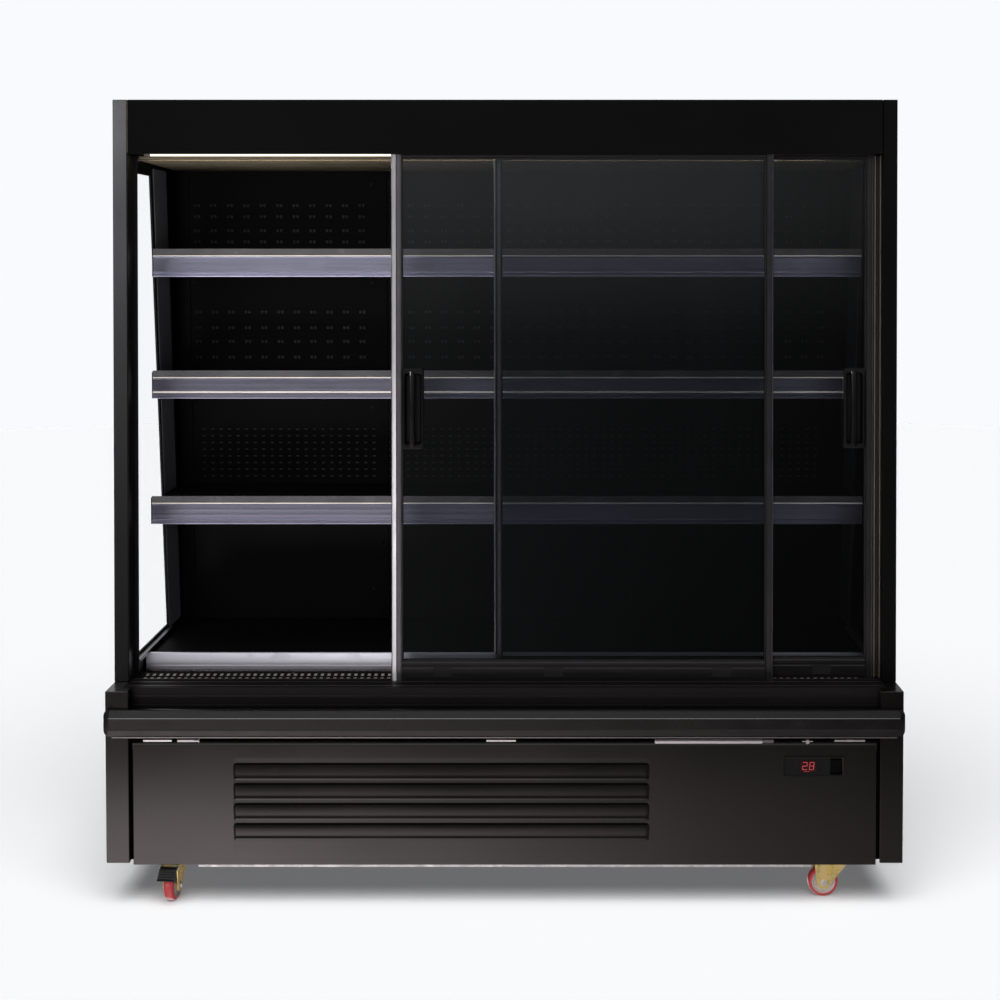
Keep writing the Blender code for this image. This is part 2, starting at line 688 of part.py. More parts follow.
def controller():
    """A bezel with a display, a push button and a rocker switch, each in its own pocket."""
    face = BASE_FRONT - 0.0035
    bezel_rear = BASE_FRONT - GAP
    housing = box("controller_housing", (CONTROL_LEFT, face, CONTROL_BOTTOM),
                  (CONTROL_RIGHT, bezel_rear, CONTROL_TOP), BLACK_PLASTIC)
    soften(housing, 0.0012, 2)
    body = box("controller_body", (CONTROL_LEFT + 0.005, bezel_rear - 0.001, CONTROL_BOTTOM + 0.005),
               (CONTROL_RIGHT - 0.005, BASE_FRONT + 0.036, CONTROL_TOP - 0.005))
    weld_on(housing, body)
    display = (0.7315, 0.7745, 0.3350, 0.3645)
    button_at = (0.7818, 0.3365)
    switch = (0.8080, 0.8380, 0.3290, 0.3705)
    floor = BASE_FRONT + 0.004
    switch_floor = BASE_FRONT + 0.016
    cut(housing, box("display_pocket", (display[0], face - 0.01, display[2]),
                     (display[1], floor, display[3])))
    cut(housing, rod("button_pocket", (button_at[0], face - 0.01, button_at[1]),
                     (button_at[0], floor + 0.002, button_at[1]), 0.0042, segments=12))
    cut(housing, box("switch_pocket", (switch[0], face - 0.01, switch[2]),
                     (switch[1], switch_floor, switch[3])))
    box("controller_display", (display[0] + GAP, face + 0.0008, display[2] + GAP),
        (display[1] - GAP, floor - GAP, display[3] - GAP), RED_DISPLAY)
    button = rod("controller_button", (button_at[0], face - 0.0022, button_at[1]),
                 (button_at[0], floor - 0.0010, button_at[1]), 0.0036, BLACK_PLASTIC, 12)
    soften(button, 0.0006)
    rocker((switch[0] + switch[1]) / 2, (switch[2] + switch[3]) / 2, face)


def rocker(x, z, face):
    """A rocker pressed in at its lower end, with its pivot behind its face."""
    half = 0.0180
    pivot = face + 0.0085
    tilt = math.radians(7)
    nose = 0.0110
    outline = [(0.0030, -half + 0.004), (0.0050, 0), (0.0030, half - 0.004), (-nose + 0.0028, half),
               (-nose + 0.0040, 0), (-nose + 0.0028, -half)]
    turned_outline = [(u * math.cos(tilt) - v * math.sin(tilt),
                       u * math.sin(tilt) + v * math.cos(tilt)) for u, v in outline]
    key = prism("power_switch", [turned_outline], "X", -0.0135, 0.0135, BLACK_PLASTIC)
    key.matrix_world = Matrix.Translation((x, pivot, z)) @ AXES["X"]
    soften(key, 0.0006)


# Machine compartment and cooling

def rear_grille():
    half = CLEAR_HALF - 0.002
    low = BODY_BOTTOM + 0.036
    high = TUB_BOTTOM - 0.004
    sheet = box("rear_grille", (-half, 0.3985, low), (half, 0.4000, high), BLACK_SATIN)
    count = 12
    pitch = 0.036
    for side in (-1, 1):
        first = side * 0.470 - pitch * (count - 1) / 2
        slot = box(f"rear_slot_{side}", (first - 0.004, 0.395, low + 0.035),
                   (first + 0.004, 0.405, high - 0.035))
        repeat(slot, count, (pitch, 0, 0))
        cut(sheet, slot)


def cable_gland():
    x, z = 0.860, 0.240
    start = 0.4000 + GAP
    gland = rod("cable_gland", (x, start, z), (x, start + 0.008, z), 0.015, BLACK_PLASTIC, 6)
    neck = rod("gland_neck", (x, start + 0.006, z), (x, BACK - 0.0005, z), 0.011, segments=20)
    bore = rod("gland_bore", (x, start + 0.004, z), (x, BACK + 0.01, z), 0.0050, segments=16)
    weld_on(gland, neck)
    cut(gland, bore)


def compressor():
    x, y = -0.560, 0.120
    foot = BODY_BOTTOM + 0.0025
    radius = 0.085
    low = foot + 0.020
    shoulder = low + 0.150
    dome = arc((0, 0), 1.0, 90, 0, 6)
    profile = [(radius * c, shoulder + 0.045 * s) for c, s in dome]
    profile += [(radius, low + 0.060), (radius + 0.004, low + 0.055), (radius + 0.004, low + 0.045),
                (radius, low + 0.040)]
    profile += [(radius * c, low + 0.030 - 0.030 * s) for c, s in reversed(dome)]
    profile[0] = (0, profile[0][1])
    profile[-1] = (0, profile[-1][1])
    body = turned("compressor", profile, BLACK_SATIN)
    body.location = (x, y, 0)
    feet = box("compressor_feet", (x - 0.110, y - 0.075, foot), (x + 0.110, y + 0.075, foot + 0.024))
    weld_on(body, feet)


CONDENSER_X = 0.020
CONDENSER_Z = 0.226


def condenser():
    half = 0.250
    low = BODY_BOTTOM + 0.0025
    high = TUB_BOTTOM - 0.006
    coil = box("condenser_coil", (CONDENSER_X - half, -0.350, low), (CONDENSER_X + half, -0.290, high),
               COPPER_FIN)
    for row in range(4):
        z = low + 0.035 + row * 0.052
        for side in (-1, 1):
            x = CONDENSER_X + side * half
            bend = rod(f"condenser_bend_{row}_{side}", (x - side * 0.004, -0.336, z),
                       (x + side * 0.014, -0.336, z), 0.006, segments=6)
            other = rod(f"condenser_tail_{row}_{side}", (x - side * 0.004, -0.304, z),
                        (x + side * 0.014, -0.304, z), 0.006, segments=6)
            weld_on(coil, bend, other)

    shroud = box("condenser_fan_shroud", (CONDENSER_X - half, -0.2890, low),
                 (CONDENSER_X + half, -0.2570, high), BLACK_SATIN)
    centre = (CONDENSER_X, CONDENSER_Z)
    bore = rod("shroud_bore", (centre[0], -0.30, centre[1]), (centre[0], -0.24, centre[1]), 0.106,
               segments=36)
    cut(shroud, bore)
    motor = rod("condenser_motor", (centre[0], -0.2600, centre[1]), (centre[0], -0.1900, centre[1]),
                0.034)
    weld_on(shroud, motor)
    for number in range(3):
        angle = math.radians(90 + 120 * number)
        arm = box(f"motor_arm_{number}", (-0.0475, -0.004, -0.004), (0.0475, 0.004, 0.004))
        arm.matrix_world = (Matrix.Translation((centre[0], -0.2575, centre[1]))
                            @ Matrix.Rotation(-angle, 4, "Y") @ Matrix.Translation((0.0675, 0, 0)))
        weld_on(shroud, arm)
    fan("condenser_fan", (centre[0], -0.2740, centre[1]), 0.024, 0.098, 0.014, 5, 0.0135)


def fan(name, centre, hub_radius, tip_radius, hub_length, blades, shaft_end):
    """An axial fan about the Y axis, with its origin on its spindle and a stub shaft behind it."""
    hub = rod(name, (0, -hub_length / 2, 0), (0, hub_length / 2, 0), hub_radius, BLACK_PLASTIC)
    hub.location = centre
    shaft = rod(name + "_shaft", centre, Vector(centre) + Vector((0, shaft_end, 0)), 0.004,
                segments=12)
    weld_on(hub, shaft)
    chord = tip_radius * 0.55
    for number in range(blades):
        length = tip_radius - hub_radius + 0.006
        middle = hub_radius - 0.006 + length / 2
        blade = box(f"{name}_blade_{number}", (-length / 2, -0.0009, -chord / 2),
                    (length / 2, 0.0009, chord / 2))
        blade.matrix_world = (Matrix.Translation(centre)
                              @ Matrix.Rotation(2 * math.pi * number / blades, 4, "Y")
                              @ Matrix.Translation((middle, 0, 0))
                              @ Matrix.Rotation(math.radians(68), 4, "X")
                              @ Matrix.Rotation(math.radians(90), 4, "X"))
        weld_on(hub, blade)


def drip_tray():
    low = BODY_BOTTOM + 0.0025
    tray = box("drip_tray", (0.380, 0.020, low), (0.780, 0.300, low + 0.050), GALVANISED)
    wall = 0.0015
    cut(tray, box("drip_hollow", (0.380 + wall, 0.020 + wall, low + wall),
                  (0.780 - wall, 0.300 - wall, low + 0.060)))


EVAPORATOR_FANS = {"left": -0.450, "right": 0.450}
EVAPORATOR_FAN_Y = -0.046
EVAPORATOR_FAN_Z = 0.462


def evaporator():
    floor = TUB_FLOOR + GAP
    coil = box("evaporator_coil", (-0.800, 0.100, floor), (0.800, 0.250, 0.525), COPPER_FIN)
    for row in range(3):
        z = floor + 0.028 + row * 0.042
        for side in (-1, 1):
            for y in (0.135, 0.215):
                bend = rod(f"evaporator_bend_{row}_{side}_{y}", (side * 0.796, y, z),
                           (side * 0.816, y, z), 0.006, segments=6)
                weld_on(coil, bend)
    plate = box("evaporator_fan_plate", (-0.930, -0.0300, floor), (0.930, -0.0280, 0.560), GALVANISED)
    for label, x in EVAPORATOR_FANS.items():
        bore = rod("fan_bore_" + label, (x, -0.060, EVAPORATOR_FAN_Z), (x, 0, EVAPORATOR_FAN_Z), 0.064,
                   segments=28)
        cut(plate, bore)
        motor = rod("fan_motor_" + label, (x, -0.0280, EVAPORATOR_FAN_Z), (x, 0.016, EVAPORATOR_FAN_Z),
                    0.024, segments=16)
        bar = box("fan_bar_" + label, (x - 0.075, -0.0290, EVAPORATOR_FAN_Z - 0.005),
                  (x + 0.075, -0.0240, EVAPORATOR_FAN_Z + 0.005))
        weld_on(plate, motor, bar)
        fan("evaporator_fan_" + label, (x, EVAPORATOR_FAN_Y, EVAPORATOR_FAN_Z), 0.016, 0.058, 0.012, 4,
            0.0165)


# Casters

def caster(label, x, y, yaw, braked):
    """A swivel fork and its wheel; the wheel trails towards -Y before the fork is turned."""
    turn = Matrix.Rotation(math.radians(yaw), 4, "Z")
    frame = empty("swivel_" + label, (x, y, 0), (0, 0, math.radians(yaw)))
    cheek_inner = 0.0160
    cheek_outer = 0.0185
    head_top = PLATE_UNDER - GAP
    cheek_top = 0.0950
    axle = (-TRAIL, WHEEL_RADIUS)
    cheek = [(-0.050, cheek_top), (-0.047, 0.074)]
    cheek += arc(axle, 0.0165, 150, 305, 8)
    cheek += [(0.033, 0.088), (0.033, cheek_top)]
    fork = prism("caster_fork_" + label, [rectangle(-cheek_outer, -0.050, cheek_outer, 0.033)], "Z",
                 cheek_top - 0.0025, cheek_top, YELLOW_ZINC)
    fork.location = (0, 0, fork.location.z)
    fork.parent = frame
    for side in (-1, 1):
        low, high = sorted((side * cheek_inner, side * cheek_outer))
        weld_on(fork, prism(f"cheek_{label}_{side}", [cheek], "X", low, high, parent=frame))
    head = rod("head_" + label, (0, 0, cheek_top - 0.001), (0, 0, head_top), 0.026)
    head.parent = frame
    bolt = rod("axle_" + label, (-0.0215, axle[0], axle[1]), (0.0215, axle[0], axle[1]), AXLE_RADIUS,
               segments=WHEEL_SIDES)
    bolt.parent = frame
    nuts = rod("nuts_" + label, (-0.0210, axle[0], axle[1]), (-0.0180, axle[0], axle[1]), 0.0075,
               segments=6)
    nuts.parent = frame
    bolt_head = rod("bolt_head_" + label, (0.0180, axle[0], axle[1]), (0.0210, axle[0], axle[1]),
                    0.0075, segments=6)
    bolt_head.parent = frame
    weld_on(fork, head, bolt, nuts, bolt_head)

    half = WHEEL_WIDTH / 2
    bore = (AXLE_RADIUS + RUNNING_PLAY) / math.cos(math.pi / WHEEL_SIDES)
    profile = [(bore, half + 0.0015), (0.011, half + 0.0015), (0.012, half - 0.003),
               (0.026, half - 0.003), (0.028, half), (WHEEL_RADIUS - 0.003, half),
               (WHEEL_RADIUS, half - 0.004)]
    mirrored = [(radius, -height) for radius, height in reversed(profile)]
    wheel = turned("caster_wheel_" + label, profile + mirrored + [profile[0]], RED_URETHANE, WHEEL_SIDES)
    wheel.matrix_world = (Matrix.Translation((x, y, 0)) @ turn
                          @ Matrix.Translation((0, axle[0], axle[1]))
                          @ Matrix.Rotation(math.radians(90), 4, "Y"))
    if braked:
        brake_pedal(frame)


PEDAL_PIVOT = (-0.0538, 0.0880)


def brake_pedal(frame):
    """A pressed lever in front of the fork, hinged between the front ends of its cheeks."""
    u, v = PEDAL_PIVOT
    top = [(0.003, 0.003), (-0.006, 0.0035), (-0.032, -0.0225)]
    under = [(-0.0305, -0.0250), (-0.006, -0.0005), (0.003, -0.003)]
    pedal = prism("brake_pedal", [top + under], "X", -0.0225, 0.0225, BLACK_SATIN)
    pedal.matrix_world = Matrix.Translation((0, u, v)) @ AXES["X"]
    pedal.parent = frame
    soften(pedal, 0.0006)


def build():
    base_tray()
    tub()
    for label, side in (("left", -1), ("right", 1)):
        end_panel(label, side)
        side_frame(label, side)
    back_panel()
    canopy()
    fascia()
    head_track()
    canopy_lamp()
    duct_panel()
    for number, x in enumerate(UPRIGHT_X, 1):
        upright(number, x)
    for label, (face, top) in SHELVES.items():
        front = face + RAIL_THICKNESS + GAP
        shelf(label, front, top)
        price_rail(label, front, top)
    deck()
    air_return_grille()
    door_sill()
    door("front", FRONT_DOOR_LEFT, FRONT_DOOR_DEPTH, (WIDE_STILE, NARROW_STILE))
    door("rear", REAR_DOOR_LEFT, REAR_DOOR_DEPTH, (NARROW_STILE, NARROW_STILE))
    front_panel()
    bumper()
    controller()
    rear_grille()
    cable_gland()
    compressor()
    condenser()
    drip_tray()
    evaporator()
    for label, yaw in CASTER_YAW.items():
        end, side = label.split("_")
        x = CASTER_X if side == "right" else -CASTER_X
        y = CASTER_FRONT_Y if end == "front" else CASTER_REAR_Y
        caster(label, x, y, yaw, label == "front_left")


build()
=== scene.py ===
import math

import bmesh
import bpy
from mathutils import Matrix, Vector


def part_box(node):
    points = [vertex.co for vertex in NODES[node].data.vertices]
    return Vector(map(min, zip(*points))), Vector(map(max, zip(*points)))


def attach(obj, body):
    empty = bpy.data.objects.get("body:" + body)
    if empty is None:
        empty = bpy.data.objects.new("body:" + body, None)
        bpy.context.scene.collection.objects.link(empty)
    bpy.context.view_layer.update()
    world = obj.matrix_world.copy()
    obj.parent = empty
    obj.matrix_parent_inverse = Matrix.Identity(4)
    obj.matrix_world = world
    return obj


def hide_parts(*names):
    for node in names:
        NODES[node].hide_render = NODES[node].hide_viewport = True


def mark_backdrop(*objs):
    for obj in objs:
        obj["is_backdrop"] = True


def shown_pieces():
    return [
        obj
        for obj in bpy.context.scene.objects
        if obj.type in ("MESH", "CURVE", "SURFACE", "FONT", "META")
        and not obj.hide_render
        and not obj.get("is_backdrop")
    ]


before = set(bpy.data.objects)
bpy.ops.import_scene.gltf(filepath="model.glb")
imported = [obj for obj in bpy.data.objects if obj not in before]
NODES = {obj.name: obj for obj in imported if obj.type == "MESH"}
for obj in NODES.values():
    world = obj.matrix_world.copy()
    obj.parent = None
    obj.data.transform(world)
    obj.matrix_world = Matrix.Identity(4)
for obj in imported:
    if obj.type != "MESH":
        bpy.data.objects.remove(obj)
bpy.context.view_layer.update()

CASE = "case"

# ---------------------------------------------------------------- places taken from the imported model


def low(node):
    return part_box(node)[0]


def high(node):
    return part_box(node)[1]


FRONT_LEAN_RUN = 0.030
DUCT_RUN, DUCT_RISE = 0.052, 1.3085
DUCT_FOOT = (0, 0.333, 0.548)
PANEL_AHEAD = 0.095
SILL_TOP = 0.5355
CLEAR_HALF = 0.955
UPRIGHT_X = (-0.93, -0.367, 0.367, 0.93)

FOOT_Z = low("side_frame_left").z - 0.0005
FRONT_Y = low("side_frame_left").y
TOP_Z = high("side_frame_left").z
LEAN = math.atan2(FRONT_LEAN_RUN, TOP_Z - FOOT_Z)
FRONT_PLANE = Matrix.Translation((0, FRONT_Y, FOOT_Z)) @ Matrix.Rotation(-LEAN, 4, "X")
DUCT_PLANE = Matrix.Translation(DUCT_FOOT) @ Matrix.Rotation(math.atan2(DUCT_RUN, DUCT_RISE), 4, "X")
PANEL_Y = FRONT_Y - PANEL_AHEAD

# ---------------------------------------------------------------- materials


def tree_of(name):
    made = bpy.data.materials.new(name)
    made.use_nodes = True
    tree = made.node_tree
    return made, tree, tree.nodes["Principled BSDF"]


def node(tree, kind, settings=None, **inputs):
    made = tree.nodes.new(kind)
    for key, value in (settings or {}).items():
        setattr(made, key, value)
    for key, value in inputs.items():
        socket = made.inputs[key.replace("_", " ")]
        if isinstance(value, bpy.types.NodeSocket):
            tree.links.new(value, socket)
        else:
            socket.default_value = value
    return made


def math_node(tree, operation, a, b=None, c=None, clamp=False):
    made = tree.nodes.new("ShaderNodeMath")
    made.operation = operation
    made.use_clamp = clamp
    for index, value in enumerate((a, b, c)):
        if value is None:
            continue
        if isinstance(value, bpy.types.NodeSocket):
            tree.links.new(value, made.inputs[index])
        else:
            made.inputs[index].default_value = value
    return made.outputs[0]


def spread(tree, value, low_out, high_out, low_in=0.3, high_in=0.7):
    made = tree.nodes.new("ShaderNodeMapRange")
    tree.links.new(value, made.inputs["Value"])
    made.inputs["From Min"].default_value = low_in
    made.inputs["From Max"].default_value = high_in
    made.inputs["To Min"].default_value = low_out
    made.inputs["To Max"].default_value = high_out
    return made.outputs[0]


def place_of(tree, stretch=(1, 1, 1)):
    where = tree.nodes.new("ShaderNodeTexCoord").outputs["Object"]
    if stretch == (1, 1, 1):
        return where
    mapped = tree.nodes.new("ShaderNodeMapping")
    mapped.inputs["Scale"].default_value = stretch
    tree.links.new(where, mapped.inputs["Vector"])
    return mapped.outputs[0]


def noise(tree, scale, detail=3.0, stretch=(1, 1, 1), rough=0.5):
    made = node(tree, "ShaderNodeTexNoise", None, Scale=scale, Detail=detail, Roughness=rough)
    tree.links.new(place_of(tree, stretch), made.inputs["Vector"])
    return made.outputs["Fac"]


def blend_colour(tree, factor, first, second):
    made = tree.nodes.new("ShaderNodeMix")
    made.data_type = "RGBA"
    for index, value in ((0, factor), (6, first), (7, second)):
        if isinstance(value, bpy.types.NodeSocket):
            tree.links.new(value, made.inputs[index])
        elif isinstance(value, (tuple, list)):
            made.inputs[index].default_value = (*value, 1.0)
        else:
            made.inputs[index].default_value = value
    return made.outputs[2]


def bump(tree, shader, height, strength, distance):
    made = node(tree, "ShaderNodeBump", None, Strength=strength, Distance=distance)
    tree.links.new(height, made.inputs["Height"])
    tree.links.new(made.outputs["Normal"], shader.inputs["Normal"])
    return made


def coated(name, colour, rough, spread_rough=0.06, peel=0.15, peel_scale=700, specular=0.5,
           coat=0.0, dust=0.03):
    """Painted or powder-coated sheet: orange peel, cloudy gloss, small scuffs and dust on top."""
    made, tree, shader = tree_of(name)
    cloud = noise(tree, 2.2, 4)
    scuff = noise(tree, 38, 6, (1, 1, 1.6), 0.65)
    scuffed = spread(tree, scuff, 0, 1, 0.62, 0.80)
    base = blend_colour(tree, spread(tree, cloud, 0, 1), [c * 0.85 for c in colour],
                        [c * 1.15 for c in colour])
    worn = blend_colour(tree, math_node(tree, "MULTIPLY", scuffed, 0.25), base,
                        [min(1, c * 2.2 + 0.004) for c in colour])
    facing = node(tree, "ShaderNodeSeparateXYZ")
    tree.links.new(tree.nodes.new("ShaderNodeNewGeometry").outputs["Normal"], facing.inputs[0])
    lying = spread(tree, facing.outputs["Z"], 0, 1, 0.7, 0.98)
    speck = spread(tree, noise(tree, 900, 2), 0, 1, 0.5, 0.68)
    settled = math_node(tree, "MULTIPLY", lying, math_node(tree, "MULTIPLY_ADD", speck, 0.7, 0.3))
    dusty = blend_colour(tree, math_node(tree, "MULTIPLY", settled, dust), worn, (0.35, 0.34, 0.32))
    tree.links.new(dusty, shader.inputs["Base Color"])
    level = spread(tree, cloud, rough - spread_rough, rough + spread_rough)
    level = math_node(tree, "MULTIPLY_ADD", scuffed, 0.10, level)
    level = math_node(tree, "MULTIPLY_ADD", settled, 0.25, level, True)
    tree.links.new(level, shader.inputs["Roughness"])
    shader.inputs["Specular IOR Level"].default_value = specular
    shader.inputs["Coat Weight"].default_value = coat
    shader.inputs["Coat Roughness"].default_value = 0.12
    bump(tree, shader, noise(tree, peel_scale, 2), peel, 0.0002)
    return made


def brushed(name, colour, rough, along=(1, 260, 260), grain=0.12, tint=0.12, metallic=1.0):
    """Drawn or anodised metal with its grain along one axis, and slight stains."""
    made, tree, shader = tree_of(name)
    fine = noise(tree, 5.0, 3, along)
    broad = noise(tree, 1.6, 4, (0.6, 6, 6))
    stain = noise(tree, 22, 5)
    tone = math_node(tree, "MULTIPLY_ADD", fine, 0.5, math_node(tree, "MULTIPLY", broad, 0.5))
    base = blend_colour(tree, spread(tree, tone, 0, 1, 0.35, 0.65), [c * (1 - tint) for c in colour],
                        [min(1, c * (1 + tint)) for c in colour])
    marked = blend_colour(tree, spread(tree, stain, 0, 0.22, 0.58, 0.75), base,
                          [c * 0.7 for c in colour])
    tree.links.new(marked, shader.inputs["Base Color"])
    level = spread(tree, fine, rough - 0.07, rough + 0.07)
    level = math_node(tree, "ADD", level, spread(tree, stain, 0, 0.1, 0.55, 0.75), None, True)
    tree.links.new(level, shader.inputs["Roughness"])
    shader.inputs["Metallic"].default_value = metallic
    bump(tree, shader, fine, grain, 0.0003)
    return made


def galvanised(name, colour, rough=0.42, shaded_below=False):
    """Hot-dip zinc: spangles of different tone, a few white stains, and, if asked, faces pointing down painted
    dark as shade.
    """
    made, tree, shader = tree_of(name)
    cells = node(tree, "ShaderNodeTexVoronoi", None, Scale=75)
    tree.links.new(place_of(tree), cells.inputs["Vector"])
    gray = node(tree, "ShaderNodeSeparateColor")
    tree.links.new(cells.outputs["Color"], gray.inputs[0])
    base = blend_colour(tree, gray.outputs[0], [c * 0.82 for c in colour], [c * 1.08 for c in colour])
    stains_and_shade = blend_colour(tree, spread(tree, noise(tree, 9, 6), 0, 0.4, 0.5, 0.75), base,
                           (0.55, 0.55, 0.54))
    # Faces that point down are painted near black: painted shade under the part.
    if shaded_below:
        facing = node(tree, "ShaderNodeSeparateXYZ")
        tree.links.new(tree.nodes.new("ShaderNodeNewGeometry").outputs["Normal"], facing.inputs[0])
        below = spread(tree, facing.outputs["Z"], 1.0, 0.0, -0.9, -0.5)
        stains_and_shade = blend_colour(tree, below, stains_and_shade, (0.030, 0.028, 0.027))
    tree.links.new(stains_and_shade, shader.inputs["Base Color"])
    level = spread(tree, gray.outputs[1], rough - 0.1, rough + 0.1, 0, 1)
    tree.links.new(level, shader.inputs["Roughness"])
    shader.inputs["Metallic"].default_value = 0.9
    bump(tree, shader, gray.outputs[2], 0.08, 0.0004)
    return made


def passivated(name):
    """Yellow-passivated zinc: gold with greenish and pinkish clouds."""
    made, tree, shader = tree_of(name)
    cloud = noise(tree, 34, 3)
    second = noise(tree, 61, 4, (1, 1.3, 0.8))
    warm = blend_colour(tree, spread(tree, cloud, 0, 1), (0.96, 0.70, 0.22), (0.93, 0.78, 0.34))
    mixed = blend_colour(tree, spread(tree, second, 0, 0.45, 0.5, 0.7), warm, (0.82, 0.58, 0.46))
    tree.links.new(mixed, shader.inputs["Base Color"])
    tree.links.new(spread(tree, second, 0.22, 0.42), shader.inputs["Roughness"])
    shader.inputs["Metallic"].default_value = 0.85
    bump(tree, shader, noise(tree, 800, 2), 0.12, 0.0002)
    return made


def moulded(name, colour, rough, grain=0.2, grain_scale=1400, specular=0.5, soft=0.0):
    """Moulded plastic or rubber: fine texture, rubbed patches."""
    made, tree, shader = tree_of(name)
    rub = noise(tree, 14, 5)
    base = blend_colour(tree, spread(tree, rub, 0, 1), [c * 0.88 for c in colour],
                        [min(1, c * 1.15) for c in colour])
    tree.links.new(base, shader.inputs["Base Color"])
    tree.links.new(spread(tree, rub, rough - 0.06, rough + 0.08), shader.inputs["Roughness"])
    shader.inputs["Specular IOR Level"].default_value = specular
    if soft:
        shader.inputs["Subsurface Weight"].default_value = soft
        shader.inputs["Subsurface Scale"].default_value = 0.004
    bump(tree, shader, noise(tree, grain_scale, 2), grain, 0.0002)
    return made


def pane(name, through, gloss=1.0, smear=0.012):
    """A thin pane: tinted see-through, mirroring more at a glancing angle, with faint wiping marks."""
    made, tree, shader = tree_of(name)
    wipe = noise(tree, 3.5, 5, (1, 1, 0.35))
    shader.inputs["Base Color"].default_value = (0.95, 0.97, 1.0, 1)
    shader.inputs["Metallic"].default_value = 1.0
    tree.links.new(spread(tree, wipe, 0.01, 0.06, 0.5, 0.8), shader.inputs["Roughness"])
    clear = node(tree, "ShaderNodeBsdfTransparent", None, Color=(*through, 1))
    mirror = node(tree, "ShaderNodeFresnel", None, IOR=1.5).outputs[0]
    share = math_node(tree, "MULTIPLY", mirror, gloss)
    share = math_node(tree, "ADD", share, spread(tree, wipe, 0.0, smear, 0.55, 0.85), None, True)
    either = tree.nodes.new("ShaderNodeMixShader")
    tree.links.new(share, either.inputs[0])
    tree.links.new(clear.outputs[0], either.inputs[1])
    tree.links.new(shader.outputs[0], either.inputs[2])
    tree.links.new(either.outputs[0], tree.nodes["Material Output"].inputs["Surface"])
    return made


def glowing(name, colour, strength, rough=0.4):
    made, tree, shader = tree_of(name)
    spots = noise(tree, 60, 3)
    shader.inputs["Base Color"].default_value = (*[c * 0.6 for c in colour], 1)
    tint = blend_colour(tree, spread(tree, spots, 0, 1), [c * 0.93 for c in colour], colour)
    tree.links.new(tint, shader.inputs["Emission Color"])
    shader.inputs["Emission Strength"].default_value = strength
    tree.links.new(spread(tree, spots, rough - 0.05, rough + 0.05), shader.inputs["Roughness"])
    return made


def finned(name, colour):
    """Thin aluminium fins 2.2 mm apart, seen edge on, the gaps between them painted near black as shade."""
    made, tree, shader = tree_of(name)
    bands = node(tree, "ShaderNodeTexWave", {"bands_direction": "X", "wave_profile": "SIN"},
                 Scale=72.0, Distortion=0.6, Detail=1.0)
    tree.links.new(place_of(tree), bands.inputs["Vector"])
    fins = spread(tree, bands.outputs["Fac"], 0, 1, 0.35, 0.75)
    # The bands between the fins are painted near black: painted shade in the gaps.
    base = blend_colour(tree, fins, [c * 0.05 for c in colour], colour)
    dirt = blend_colour(tree, spread(tree, noise(tree, 12, 6), 0, 0.5, 0.5, 0.75), base,
                        (0.12, 0.11, 0.10))
    tree.links.new(dirt, shader.inputs["Base Color"])
    shader.inputs["Metallic"].default_value = 0.8
    shader.inputs["Roughness"].default_value = 0.45
    bump(tree, shader, fins, 0.5, 0.001)
    return made


M = {}


